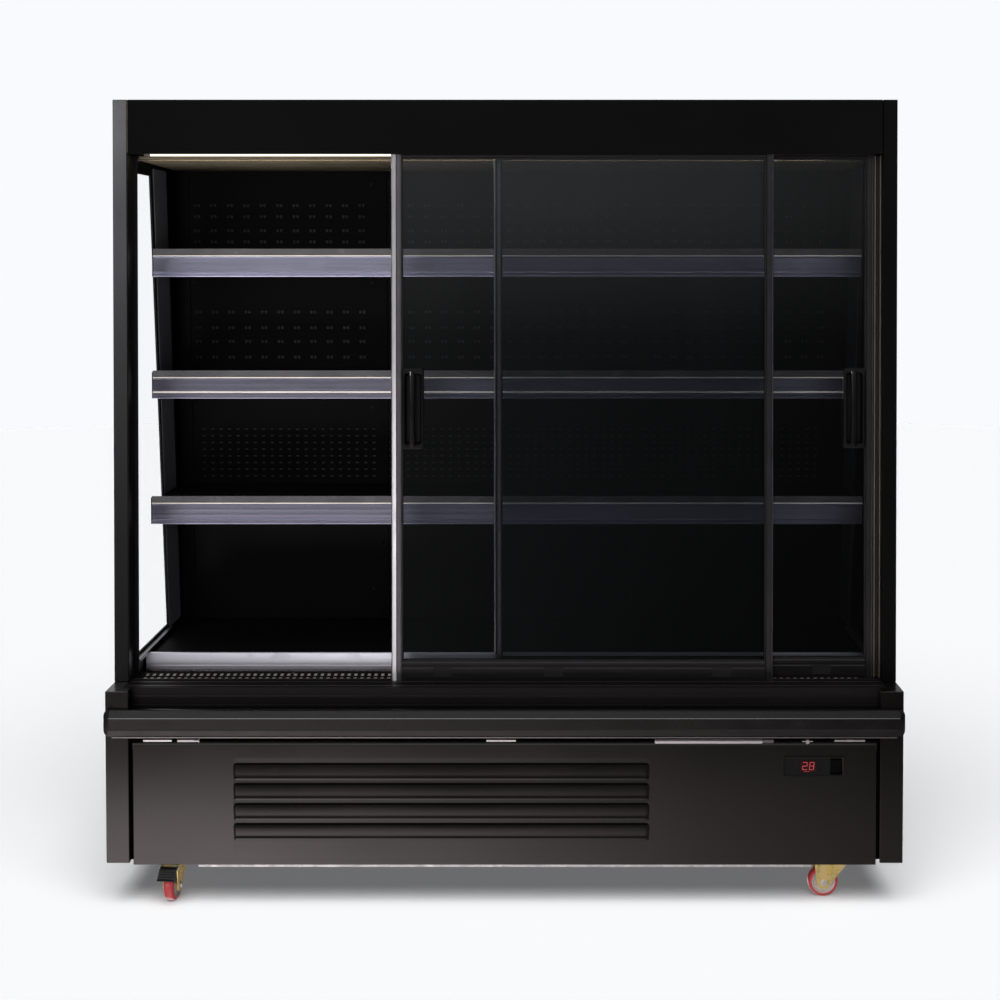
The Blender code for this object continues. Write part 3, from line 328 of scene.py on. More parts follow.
def make_materials():
    M["paint"] = coated("gloss_black_paint", (0.0040, 0.0036, 0.0036), 0.24, 0.04, 0.10, 520, 0.42)
    M["paint_matt"] = coated("satin_black_paint", (0.0032, 0.0032, 0.0033), 0.40, 0.05, 0.2, 700, 0.10)
    M["panel_paint"] = coated("panel_black_paint", (0.0062, 0.0048, 0.0045), 0.12, 0.025, 0.03, 420,
                              0.55, 0.0, 0.02)
    M["liner"] = coated("liner_black", (0.0050, 0.0050, 0.0054), 0.36, 0.05, 0.15, 800, 0.16)
    M["liner_grey"] = coated("liner_grey", (0.075, 0.075, 0.084), 0.38, 0.05, 0.15, 800, 0.5)
    M["deck"] = coated("deck_black", (0.0035, 0.0035, 0.0037), 0.5, 0.06, 0.2, 900, 0.08, 0.0, 0.004)
    M["shelf"] = coated("shelf_black", (0.0035, 0.0035, 0.0039), 0.45, 0.06, 0.2, 900, 0.10, 0.0, 0.004)
    M["back"] = coated("back_sheet", (0.010, 0.010, 0.0105), 0.40, 0.06, 0.18, 600, 0.3)
    M["canopy_inner"] = coated("canopy_liner_beige", (0.26, 0.216, 0.150), 0.55, 0.05, 0.1, 700, 0.2)
    M["silver"] = brushed("silver_anodised", (0.74, 0.73, 0.76), 0.36, (260, 260, 1), 0.08, 0.06)
    # Two darker copies of the silver for parts lying in shade: painted shade.
    M["silver_dark"] = brushed("silver_anodised_shaded", (0.24, 0.24, 0.26), 0.36, (260, 260, 1), 0.08)
    M["silver_deep_shade"] = brushed("stile_black_anodised", (0.085, 0.085, 0.090), 0.36, (260, 260, 1), 0.08)
    # One aluminium, lighter or darker per rail for the light on it: painted light on the top rail, painted
    # shade on the middle and lower.
    for label, share in (("top", 1.44), ("middle", 0.88), ("lower", 0.95)):
        colour = [c * share for c in (0.43, 0.445, 0.58)]
        M["rail_" + label] = brushed("rail_aluminium_" + label, colour, 0.34, (1, 300, 300), 0.05, 0.08)
    M["trim"] = brushed("trim_aluminium", (0.88, 0.87, 0.97), 0.42, (1, 300, 300), 0.08, 0.04)
    # The tray's faces that point down are painted dark: painted shade.
    M["tray"] = galvanised("tray_steel", (0.86, 0.87, 0.88), 0.42, True)
    M["sill"] = coated("sill_paint", (0.0115, 0.0098, 0.0100), 0.42, 0.05, 0.1, 700, 0.13, 0.0, 0.004)
    M["rib"] = brushed("rib_tops_lighter", (0.17, 0.155, 0.15), 0.36, (1, 200, 200), 0.05, 0.10)
    # Light bead finish: on the crest it is a painted highlight, under the bumper the carrier's edge.
    M["bead"] = brushed("bumper_bead_and_crest_highlight", (0.30, 0.29, 0.29), 0.30, (1, 200, 200), 0.05, 0.08)
    M["grille_bar"] = moulded("grille_bar", (0.78, 0.68, 0.63), 0.45, 0.1)
    M["void"] = moulded("shadow_gap", (0.0025, 0.0022, 0.0022), 0.7, 0.1, 900, 0.05)
    M["black_anodised"] = brushed("black_anodised", (0.035, 0.032, 0.033), 0.33, (1, 260, 260), 0.12,
                                  0.2, 0.75)
    # Warm beige standing for the lamp's warm light on the right jamb: painted light.
    M["jamb"] = brushed("jamb_metal_painted_warm_light", (0.40, 0.33, 0.26), 0.40, (260, 260, 1), 0.12, 0.12, 0.7)
    M["zinc"] = galvanised("galvanised_steel", (0.72, 0.73, 0.74))
    M["bright"] = brushed("bright_zinc", (0.92, 0.92, 0.92), 0.28, (1, 200, 200), 0.06, 0.04)
    M["yellow"] = passivated("yellow_passivated_zinc")
    M["plastic"] = moulded("black_gloss_plastic", (0.0050, 0.0045, 0.0045), 0.14, 0.03, 900, 0.45)
    M["plastic_matt"] = moulded("black_matt_plastic", (0.0050, 0.0050, 0.0052), 0.40, 0.18, 1400, 0.22)
    M["bumper"] = moulded("bumper_vinyl", (0.0075, 0.0062, 0.0064), 0.22, 0.03, 1600, 0.36)
    M["seal"] = moulded("black_rubber_seal", (0.009, 0.009, 0.0095), 0.6, 0.3)
    M["lip"] = moulded("clear_rail_lip", (0.16, 0.155, 0.165), 0.22, 0.05, 500)
    M["red"] = moulded("red_urethane", (0.46, 0.032, 0.040), 0.34, 0.15, 900, 0.5, 0.15)
    M["hub"] = moulded("hub_polyamide", (0.50, 0.43, 0.40), 0.40, 0.1, 900)
    M["copper"] = brushed("copper_pipe", (0.72, 0.36, 0.22), 0.30, (60, 60, 60), 0.05, 0.15)
    M["fins"] = finned("coil_fins", (0.62, 0.60, 0.57))
    M["glass"] = pane("door_glass", (0.76, 0.77, 0.785))
    M["glass_side"] = pane("side_glass", (0.997, 0.998, 0.999), 0.03, 0.003)
    M["lamp"] = glowing("lamp_diffuser", (1.0, 0.90, 0.74), 1.5)
    M["digit"] = glowing("display_red", (1.0, 0.10, 0.12), 0.14, 0.3)
    M["rail_edge"] = moulded("rail_edge_painted_highlight", (0.80, 0.74, 0.68), 0.35, 0.03, 600)
    M["display"] = moulded("display_window", (0.022, 0.004, 0.005), 0.12, 0.02, 600)
    M["dark_pane"] = brushed("dark_mirror", (0.10, 0.10, 0.11), 0.08, (6, 6, 2), 0.0, 0.1, 0.9)


make_materials()

NODE_MATERIALS = {
    "tray": "base_tray",
    "liner": "tub duct_panel upright_1 upright_2 upright_3 upright_4",
    "panel_paint": "end_panel_left end_panel_right",
    "paint_matt": "side_frame_left side_frame_right fascia",
    "glass_side": "side_glass_left",
    "dark_pane": "side_glass_right",
    "back": "back_panel canopy rear_grille",
    "black_anodised": "head_track",
    "lamp": "canopy_lamp",
    "shelf": "shelf_top shelf_middle shelf_lower",
    "deck": "deck_pan",
    # The return grille's solid under its bars is shadow-gap black: painted shade.
    "void": "air_return_grille power_switch",
    "sill": "door_sill",
    "glass": "door_front_glass door_rear_glass",
    "plastic_matt": "controller_housing controller_button cable_gland condenser_fan evaporator_fan_left "
                    "evaporator_fan_right",
    "display": "controller_display",
    "paint": "compressor condenser_fan_shroud brake_pedal",
    "fins": "condenser_coil evaporator_coil",
    "zinc": "drip_tray evaporator_fan_plate",
    "yellow": "caster_fork_front_left caster_fork_front_right caster_fork_rear_left caster_fork_rear_right",
}


for kind, cad_names in NODE_MATERIALS.items():
    for cad_name in cad_names.split():
        NODES[cad_name].data.materials.clear()
        NODES[cad_name].data.materials.append(M[kind])

# ---------------------------------------------------------------- shapes


def settle(name, bm, kind, body=CASE, bevel=0.0, segments=2, angle=30, smooth=True):
    """Makes a piece from a mesh built in the row frame and lets it ride on a body."""
    bmesh.ops.recalc_face_normals(bm, faces=bm.faces)
    limit = math.radians(angle)
    for face in bm.faces:
        face.smooth = smooth
    for edge in bm.edges:
        edge.smooth = len(edge.link_faces) == 2 and edge.calc_face_angle(0) < limit
    mesh = bpy.data.meshes.new(name)
    bm.to_mesh(mesh)
    bm.free()
    obj = bpy.data.objects.new(name, mesh)
    bpy.context.scene.collection.objects.link(obj)
    obj.data.materials.append(M[kind])
    if bevel:
        edge = obj.modifiers.new("edges", "BEVEL")
        edge.width = bevel
        edge.segments = segments
        edge.limit_method = "ANGLE"
        edge.angle_limit = limit
        edge.harden_normals = True
    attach(obj, body)
    return obj


def add_box(bm, a, b, matrix=None):
    made = bmesh.ops.create_cube(bm, size=1.0)["verts"]
    size = [max(q - p, 1e-5) for p, q in zip(a, b)]
    middle = [(p + q) / 2 for p, q in zip(a, b)]
    bmesh.ops.scale(bm, vec=size, verts=made)
    bmesh.ops.translate(bm, vec=middle, verts=made)
    if matrix is not None:
        bmesh.ops.transform(bm, matrix=matrix, verts=made)
    return made


def add_rod(bm, a, b, radius, segments=20, tip=None, matrix=None):
    run = Vector(b) - Vector(a)
    turn = run.to_track_quat("Z", "Y").to_matrix().to_4x4()
    made = bmesh.ops.create_cone(bm, cap_ends=True, segments=segments, radius1=radius,
                                 radius2=radius if tip is None else tip, depth=run.length)["verts"]
    where = Matrix.Translation((Vector(a) + Vector(b)) / 2) @ turn
    if matrix is not None:
        where = matrix @ where
    bmesh.ops.transform(bm, matrix=where, verts=made)
    return made


PLANES = {
    "X": lambda u, v, t: (t, u, v),
    "Y": lambda u, v, t: (u, t, v),
    "Z": lambda u, v, t: (u, v, t),
}


def loops(bm, axis, *lines):
    """One loop of corners for each (outline, place along the axis)."""
    put = PLANES[axis]
    return [[bm.verts.new(put(u, v, t)) for u, v in outline] for outline, t in lines]


def skin(bm, rings):
    """Faces between each ring and the next."""
    for a, b in zip(rings, rings[1:]):
        for i in range(len(a)):
            j = (i + 1) % len(a)
            bm.faces.new((a[i], a[j], b[j], b[i]))


def add_prism(bm, outline, axis, start, end, matrix=None):
    """A closed outline drawn out along an axis: (y, z) for X, (x, z) for Y, (x, y) for Z."""
    ends = loops(bm, axis, (outline, start), (outline, end))
    skin(bm, ends)
    bm.faces.new(ends[0])
    bm.faces.new(list(reversed(ends[1])))
    made = ends[0] + ends[1]
    if matrix is not None:
        bmesh.ops.transform(bm, matrix=matrix, verts=made)
    return made


def extrusion(name, outline, axis, start, end, kind, body=CASE, bevel=0.0004, matrix=None, angle=30,
              segments=2):
    bm = bmesh.new()
    add_prism(bm, outline, axis, start, end, matrix)
    return settle(name, bm, kind, body, bevel, segments, angle)


def boxes(name, spans, kind, body=CASE, bevel=0.0, segments=1, matrix=None):
    """One piece of several boxes, each a (low corner, high corner) pair."""
    bm = bmesh.new()
    for a, b in spans:
        add_box(bm, a, b, matrix)
    return settle(name, bm, kind, body, bevel, segments)


def rods(name, runs, radius, kind, body=CASE, segments=16, tip=None, bevel=0.0, matrix=None):
    """One piece of several round bars, pins or screw heads."""
    bm = bmesh.new()
    for a, b in runs:
        add_rod(bm, a, b, radius, segments, tip, matrix)
    return settle(name, bm, kind, body, bevel, 1)


def add_turned(bm, profile, steps=40, matrix=None):
    """Turns a list of (radius, height) about Z.  Points on the axis close it."""
    rings = []
    for radius, height in profile:
        if radius < 1e-6:
            rings.append([bm.verts.new((0, 0, height))])
            continue
        rings.append([bm.verts.new((radius * math.cos(2 * math.pi * i / steps),
                                    radius * math.sin(2 * math.pi * i / steps), height))
                      for i in range(steps)])
    for a, b in zip(rings, rings[1:]):
        for i in range(steps):
            j = (i + 1) % steps
            if len(a) == 1 and len(b) == 1:
                continue
            if len(a) == 1:
                bm.faces.new((a[0], b[j], b[i]))
            elif len(b) == 1:
                bm.faces.new((a[i], a[j], b[0]))
            else:
                bm.faces.new((a[i], a[j], b[j], b[i]))
    made = [v for ring in rings for v in ring]
    if matrix is not None:
        bmesh.ops.transform(bm, matrix=matrix, verts=made)
    return made


def arc(centre, radius, start, end, count):
    found = []
    for i in range(count + 1):
        a = math.radians(start + (end - start) * i / count)
        found.append((centre[0] + radius * math.cos(a), centre[1] + radius * math.sin(a)))
    return found


def rounded(u0, v0, u1, v1, radius, count=5):
    """A rectangle with round corners, counter-clockwise."""
    r = min(radius, (u1 - u0) / 2 - 1e-5, (v1 - v0) / 2 - 1e-5)
    return (arc((u1 - r, v0 + r), r, -90, 0, count) + arc((u1 - r, v1 - r), r, 0, 90, count)
            + arc((u0 + r, v1 - r), r, 90, 180, count) + arc((u0 + r, v0 + r), r, 180, 270, count))


def tube(name, points, radius, kind, body=CASE, resolution=6):
    curve = bpy.data.curves.new(name, "CURVE")
    curve.dimensions = "3D"
    curve.bevel_depth = radius
    curve.bevel_resolution = resolution
    curve.use_fill_caps = True
    spline = curve.splines.new("POLY")
    spline.points.add(len(points) - 1)
    for point, where in zip(spline.points, points):
        point.co = (*where, 1)
    obj = bpy.data.objects.new(name, curve)
    bpy.context.scene.collection.objects.link(obj)
    curve.materials.append(M[kind])
    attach(obj, body)
    return obj


# ---------------------------------------------------------------- doors


def in_front_plane(cad):
    """The corners of a node's box in the leaning plane of the doors."""
    inverse = FRONT_PLANE.inverted()
    corners = [inverse @ v.co for v in NODES[cad].data.vertices]
    return [[pick(c[k] for c in corners) for k in range(3)] for pick in (min, max)]


def door_pieces(label, stiles, body):
    cad = "door_%s_frame" % label
    (left, front, bottom), (right, rear, top) = in_front_plane(cad)
    depth = rear - front
    rail_low, rail_high = 0.050, 0.0255
    wide_left, wide_right = stiles

    def stile(name, x0, x1, outward, kinds, nose_share):
        """A rounded outer nose and, beside it, the glazing channel with a thin raised line; the channel takes
        the second kind, a darker copy of the metal: painted shade.
        """
        width = x1 - x0

        def at(share, w):
            x = x0 + share * width if outward < 0 else x1 - share * width
            return (x, front + w)

        nose = [at(0.0, 0.0040), at(0.02, 0.0018), at(0.07, 0.0004), at(0.14, 0.0),
                at(nose_share - 0.05, 0.0), at(nose_share - 0.01, 0.0006), at(nose_share, 0.0014),
                at(nose_share, depth - 0.0010), at(0.12, depth), at(0.02, depth - 0.0012),
                at(0.0, depth - 0.003)]
        piece = extrusion(name, nose, "Z", bottom, top, kinds[0], body, 0.0003, FRONT_PLANE, 25)
        share = nose_share + 0.004
        channel = [at(share, 0.0016), at(share + 0.03, 0.0010), at(0.84, 0.0010), at(0.86, 0.0002),
                   at(0.93, 0.0002), at(0.95, 0.0020), at(1.0, 0.0024), at(1.0, depth - 0.0026),
                   at(0.92, depth - 0.0004), at(share, depth - 0.0010)]
        extrusion(name + "_channel", channel, "Z", bottom + 0.0004, top - 0.0004, kinds[1], body, 0.0002,
                  FRONT_PLANE, 25)
        return piece

    # The right-hand stiles, nose and channel, take the two shaded copies of the silver: painted shade.
    dark = ("silver_dark", "silver_deep_shade")
    first = stile("door_%s_stile_left" % label, left, left + wide_left, -1,
                  ("silver", "silver_dark"), 0.50 if label == "front" else 0.30)
    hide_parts(cad)
    stile("door_%s_stile_right" % label, right - wide_right, right, 1, dark, 0.22)

    def rail(name, outer, inner):
        """A bottom or top rail, drawn from its outer edge to the one along the glass."""
        def at(w, share):
            return (front + w, outer + share * (inner - outer))

        outline = [at(0.0022, 0.0), at(0.0022, 0.10), at(0.0, 0.13), at(0.0, 0.62), at(0.0012, 0.66),
                   at(0.0012, 0.74), at(0.0, 0.78), at(0.0, 0.90), at(0.002, 0.98), at(0.0032, 1.0),
                   at(depth - 0.0032, 1.0), at(depth - 0.001, 0.9), at(depth - 0.001, 0.06),
                   at(depth - 0.003, 0.0), at(depth - 0.0050, 0.0), at(depth - 0.0050, 0.12),
                   at(0.0050, 0.12), at(0.0050, 0.0)]
        extrusion(name, outline, "X", left + wide_left + 0.0002, right - wide_right - 0.0002,
                  "black_anodised", body, 0.0003, FRONT_PLANE, 25)

    rail("door_%s_rail_bottom" % label, bottom, bottom + rail_low)
    rail("door_%s_rail_top" % label, top, top - rail_high)

    # glazing seal round the pane, front and back
    x0, z0, x1, z1 = left + wide_left, bottom + rail_low, right - wide_right, top - rail_high
    seal = 0.0026
    for side, w0, w1 in (("front", front + 0.0010, front + 0.0028), ("rear", rear - 0.0030, rear - 0.0012)):
        boxes("door_%s_seal_%s" % (label, side),
              [((x0, w0, z0), (x1, w1, z0 + seal)), ((x0, w0, z1 - seal), (x1, w1, z1)),
               ((x0, w0, z0), (x0 + seal, w1, z1)), ((x1 - seal, w0, z0), (x1, w1, z1))],
              "seal", body, 0.0004, 1, FRONT_PLANE)

    # three covers on the bottom rail, each with its screw
    bm = bmesh.new()
    covers = [left + share * (right - left) for share in (0.135, 0.425, 0.865)]
    for x in covers:
        add_prism(bm, rounded(x - 0.024, bottom + 0.010, x + 0.024, bottom + 0.034, 0.003), "Y",
                  front - 0.0004, front + 0.0006, FRONT_PLANE)
    settle("door_%s_roller_covers" % label, bm, "seal", body, 0.0002, 1)
    rods("door_%s_screws" % label, [((x - 0.018, front - 0.0011, bottom + 0.022),
                                     (x - 0.018, front, bottom + 0.022)) for x in covers],
         0.0022, "black_anodised", body, 14, 0.0026, 0.0, FRONT_PLANE)

    # a brush strip down the edge that meets the other door
    if label == "front":
        x0, x1, w0, w1 = right - 0.009, right - 0.004, rear, rear + 0.0035
    else:
        x0, x1, w0, w1 = left + 0.004, left + 0.009, front - 0.0035, front
    boxes("door_%s_brush" % label, [((x0, w0, bottom + 0.06), (x1, w1, top - 0.03))], "seal", body, 0.0006, 1,
          FRONT_PLANE)


door_pieces("front", (0.027, 0.0195), "door_front")
door_pieces("rear", (0.0195, 0.0195), "door_rear")


def handle(label, body):
    """A flush pull: rounded plate, sunk cup and a bowed glossy grip with swollen ends."""
    cad = "door_%s_handle" % label
    (x0, _, z0), (x1, rear, z1) = in_front_plane(cad)
    plate = rear - 0.0195
    bm = bmesh.new()

    def inset(across, up, radius):
        return rounded(x0 + across, z0 + up, x1 - across, z1 - up, radius, 5)

    outer = inset(0, 0, 0.006)
    rings = loops(bm, "Y", (outer, rear), (outer, plate + 0.0010),
                  (inset(0.0045, 0.006, 0.006), plate - 0.0008),
                  (inset(0.007, 0.010, 0.007), plate + 0.0004),
                  (inset(0.011, 0.016, 0.008), rear - 0.0028))
    skin(bm, rings)
    bm.faces.new(rings[-1])
    bm.faces.new(rings[0])
    bmesh.ops.transform(bm, matrix=FRONT_PLANE, verts=bm.verts)
    shell = settle("door_%s_pull_shell" % label, bm, "plastic_matt", body, 0.0004, 2, 40)
    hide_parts(cad)

    bm = bmesh.new()
    steps, around = 28, 14
    low_z, high_z = z0 + 0.006, z1 - 0.006
    middle = x0 + 0.0255
    squarish = 0.75
    sections = []
    for i in range(steps + 1):
        t = i / steps
        z = low_z + (high_z - low_z) * t
        swell = abs(2 * t - 1) ** 3
        half_wide = 0.0068 + 0.0020 * swell
        half_deep = 0.0034 + 0.0022 * swell
        bow = plate + 0.0012 - 0.0036 * math.sin(math.pi * t) ** 0.7 + 0.002 * swell
        loop = []
        for k in range(around):
            a = 2 * math.pi * k / around
            cx = math.copysign(abs(math.cos(a)) ** squarish, math.cos(a))
            cy = math.copysign(abs(math.sin(a)) ** squarish, math.sin(a))
            loop.append(bm.verts.new((middle + half_wide * cx, bow + half_deep * cy, z)))
        sections.append(loop)
    skin(bm, sections)
    bm.faces.new(sections[0])
    bm.faces.new(list(reversed(sections[-1])))
    bmesh.ops.transform(bm, matrix=FRONT_PLANE, verts=bm.verts)
    settle("door_%s_pull_grip" % label, bm, "plastic", body, 0, 1, 60)


handle("front", "door_front")
handle("rear", "door_rear")

# ---------------------------------------------------------------- price rails and deck trim


def price_rail(label):
    """Extruded body, clear lip, light edge lines that are painted highlights, and an end cap on each side."""
    cad = "price_rail_" + label
    a, b = low(cad), high(cad)
    front, rear = a.y, b.y
    bottom = a.z
    body_top = b.z - 0.018
    x0, x1 = a.x + 0.0022, b.x - 0.0022
    tall = body_top - bottom
    outline = [(rear, bottom), (rear, body_top), (front + 0.0012, body_top), (front, body_top - 0.0012),
               (front, body_top - 0.0042), (front + 0.0022, body_top - 0.0058)]
    for share in (0.66, 0.42):
        z = bottom + share * tall
        outline += [(front + 0.0022, z + 0.0016), (front + 0.00214, z + 0.0008), (front + 0.0022, z)]
    ridge = bottom + 0.19 * tall
    outline += [(front + 0.0022, ridge + 0.0024), (front, ridge + 0.0010), (front, ridge - 0.0022),
                (front + 0.0020, ridge - 0.0036), (front + 0.0020, bottom + 0.0036), (front, bottom + 0.0022),
                (front + 0.0006, bottom)]
    piece = extrusion("rail_%s_body" % label, outline, "X", x0, x1, "rail_" + label, CASE, 0.0003)
    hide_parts(cad)
    lip = [(front + 0.0012, body_top), (front + 0.0028, body_top), (front + 0.0022, b.z - 0.001),
           (front + 0.0016, b.z), (front + 0.0010, b.z - 0.001)]
    extrusion("rail_%s_lip" % label, lip, "X", x0, x1, "lip", CASE, 0.0002)
    # Light strips along the body's top edge, and one low on the middle rail: painted highlights.
    lines = [[(front - 0.0004, body_top - 0.0026), (front - 0.0004, body_top + 0.0002),
              (front + 0.0011, body_top + 0.0006), (front + 0.0011, body_top - 0.0026)]]
    if label == "middle":
        lines.append([(front - 0.0004, bottom + 0.0150), (front - 0.0004, bottom + 0.0192),
                      (front + 0.0030, bottom + 0.0198), (front + 0.0030, bottom + 0.0144)])
    bm = bmesh.new()
    for line in lines:
        add_prism(bm, line, "X", x0, x1)
    settle("rail_%s_line" % label, bm, "rail_edge", CASE, 0.0002, 1)
    for side, x in (("left", a.x), ("right", b.x)):
        u0, u1 = sorted((x, x + (0.0021 if side == "left" else -0.0021)))
        cap = rounded(front, bottom, rear, b.z - 0.004, 0.002, 3)
        extrusion("rail_%s_cap_%s" % (label, side), cap, "X", u0, u1, "plastic_matt", CASE, 0.0004)


for shelf_label in ("top", "middle", "lower"):
    price_rail(shelf_label)


def deck_trim():
    a, b = low("deck_trim"), high("deck_trim")
    y0, y1, z0, z1 = a.y, b.y, a.z, b.z
    outline = [(y1, z0), (y1, z1), (y0 + 0.0024, z1), (y0 + 0.0006, z1 - 0.0008), (y0, z1 - 0.0026),
               (y0, z0 + 0.0190), (y0 + 0.0006, z0 + 0.0184), (y0 + 0.0006, z0 + 0.0168),
               (y0, z0 + 0.0162), (y0, z0 + 0.0050), (y0 + 0.0012, z0 + 0.0030), (y0 + 0.0014, z0)]
    piece = extrusion("deck_trim_extrusion", outline, "X", a.x, b.x, "trim", CASE, 0.0004)
    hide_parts("deck_trim")


deck_trim()

# ---------------------------------------------------------------- base front: panel, louvres, bumper

PANEL = (low("front_panel"), high("front_panel"))
LOUVRE_X = (-0.672, 0.359)
LOUVRE_Z = [(0.3565 - 0.0502 * i, 0.0425) for i in range(4)]
BEZEL = (0.693, 0.843, 0.324, 0.374)


def front_panel():
    """One pressed sheet: folded edges, four louvres with sheared lower lips, a cut-out."""
    y = PANEL_Y
    x0, x1 = PANEL[0].x, PANEL[1].x
    z0, z1 = PANEL[0].z, PANEL[1].z
    xs = sorted({x0, x0 + 0.0015, -0.80, -0.70, 0.39, 0.50, 0.60, BEZEL[0] + 0.004, BEZEL[1] - 0.004, 0.90,
                 x1 - 0.0015, x1} | {LOUVRE_X[0] + t for t in (0, 0.0015, 0.004, 0.008, 0.013, 0.02)}
                | {LOUVRE_X[1] - t for t in (0, 0.0015, 0.004, 0.008, 0.013, 0.02)}
                | {-0.65 + 0.11 * i for i in range(10)})
    zs = {z0, z0 + 0.0015, z1 - 0.0080, z1 - 0.0045, z1 - 0.0020, z1 - 0.0006, z1, BEZEL[2] + 0.004,
          BEZEL[3] - 0.004, 0.13, 0.39}
    for top, tall in LOUVRE_Z:
        zs |= {top, top - 0.0008, top - 0.0042, top - 0.0050, top - 0.009, top - 0.013, top - 0.018,
               top - 0.023, top - 0.029,
               top - tall + 0.0065, top - tall + 0.0040, top - tall + 0.0018, top - tall + 0.0001, top - tall}
    zs = sorted(zs)

    def bulge(x, z):
        for top, tall in LOUVRE_Z:
            bottom = top - tall
            if bottom + 0.00005 < z < top and LOUVRE_X[0] < x < LOUVRE_X[1]:
                down = (top - z) / tall
                near = min(x - LOUVRE_X[0], LOUVRE_X[1] - x)
                end = math.sin(min(1.0, near / 0.006) * math.pi / 2)
                if z > top - 0.0045:
                    return -0.0016 * end
                lip = max(0.0, 1 - abs(z - bottom - 0.0040) / 0.0028) * 0.0003
                under = -0.0009 if z < bottom + 0.0010 else 0.0
                return (0.0010 + 0.00062 * (1 - (1 - down) ** 3) + lip + under) * end
        if z > z1 - 0.0085:
            rise = (z - z1 + 0.0085) / 0.0085
            return -0.0042 * rise ** 2.6
        edge = min(x - x0, x1 - x, z - z0)
        return -0.0012 * (1 - min(1.0, edge / 0.0015))

    bm = bmesh.new()
    grid = [[bm.verts.new((x, y - bulge(x, z), z)) for x in xs] for z in zs]
    for j in range(len(zs) - 1):
        for i in range(len(xs) - 1):
            middle_x = (xs[i] + xs[i + 1]) / 2
            middle_z = (zs[j] + zs[j + 1]) / 2
            if BEZEL[0] < middle_x < BEZEL[1] and BEZEL[2] < middle_z < BEZEL[3]:
                continue
            bm.faces.new((grid[j][i], grid[j][i + 1], grid[j + 1][i + 1], grid[j + 1][i]))
    rim = [e for e in bm.edges if len(e.link_faces) == 1]
    outer = [e for e in rim if all(min(v.co.x - x0, x1 - v.co.x, v.co.z - z0, z1 - v.co.z) < 1e-5
                                   for v in e.verts)]
    folded = bmesh.ops.extrude_edge_only(bm, edges=outer)["geom"]
    for v in folded:
        if isinstance(v, bmesh.types.BMVert):
            v.co.y = y + 0.018
    piece = settle("front_panel_sheet", bm, "panel_paint", CASE, 0, 1, 50)
    for face in piece.data.polygons:
        centre = face.center
        face.use_smooth = (LOUVRE_X[0] < centre.x < LOUVRE_X[1]
                           and any(t - h < centre.z < t for t, h in LOUVRE_Z)) or centre.z > z1 - 0.0085
    thick = piece.modifiers.new("sheet", "SOLIDIFY")
    thick.thickness = 0.0009
    thick.offset = 0
    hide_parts("front_panel")

    boxes("louvre_shadow_gaps", [((LOUVRE_X[0] + 0.006, y + 0.0006, top - tall - 0.0008),
                                  (LOUVRE_X[1] - 0.006, y + 0.0015, top - tall + 0.010))
                                 for top, tall in LOUVRE_Z], "void")

    # Dark rings along each louvre's top and ends: painted shade in the press line.
    bm = bmesh.new()
    for top, tall in LOUVRE_Z:
        corner = 0.0090
        left, right = LOUVRE_X
        bottom = top - tall

        def ring(grow):
            found = [(left - grow * 0.3, bottom + 0.012)]
            found += arc((left + corner, top - corner), corner + grow, 180, 90, 6)
            found += arc((right - corner, top - corner), corner + grow, 90, 0, 6)
            return found + [(right + grow * 0.3, bottom + 0.012)]

        outer, inner = ring(0.0012), ring(-0.0042)
        rings = loops(bm, "Y", (outer, y + 0.0004), (outer, y - 0.0007), (inner, y - 0.0007),
                      (inner, y + 0.0004))
        for a, b in zip(rings, rings[1:] + rings[:1]):
            for i in range(len(a) - 1):
                bm.faces.new((a[i], a[i + 1], b[i + 1], b[i]))
        for i in (0, -1):
            bm.faces.new([r[i] for r in rings])
    settle("louvre_press_line_shade", bm, "void", CASE)
    # Dark strips behind the panel's end seams: painted shade.
    boxes("panel_seam_shade_backs", [((u, y + 0.0200, 0.1080), (u + 0.0165, y + 0.0230, 0.4380))
                               for u in (-0.9345, 0.9180)], "void")


front_panel()


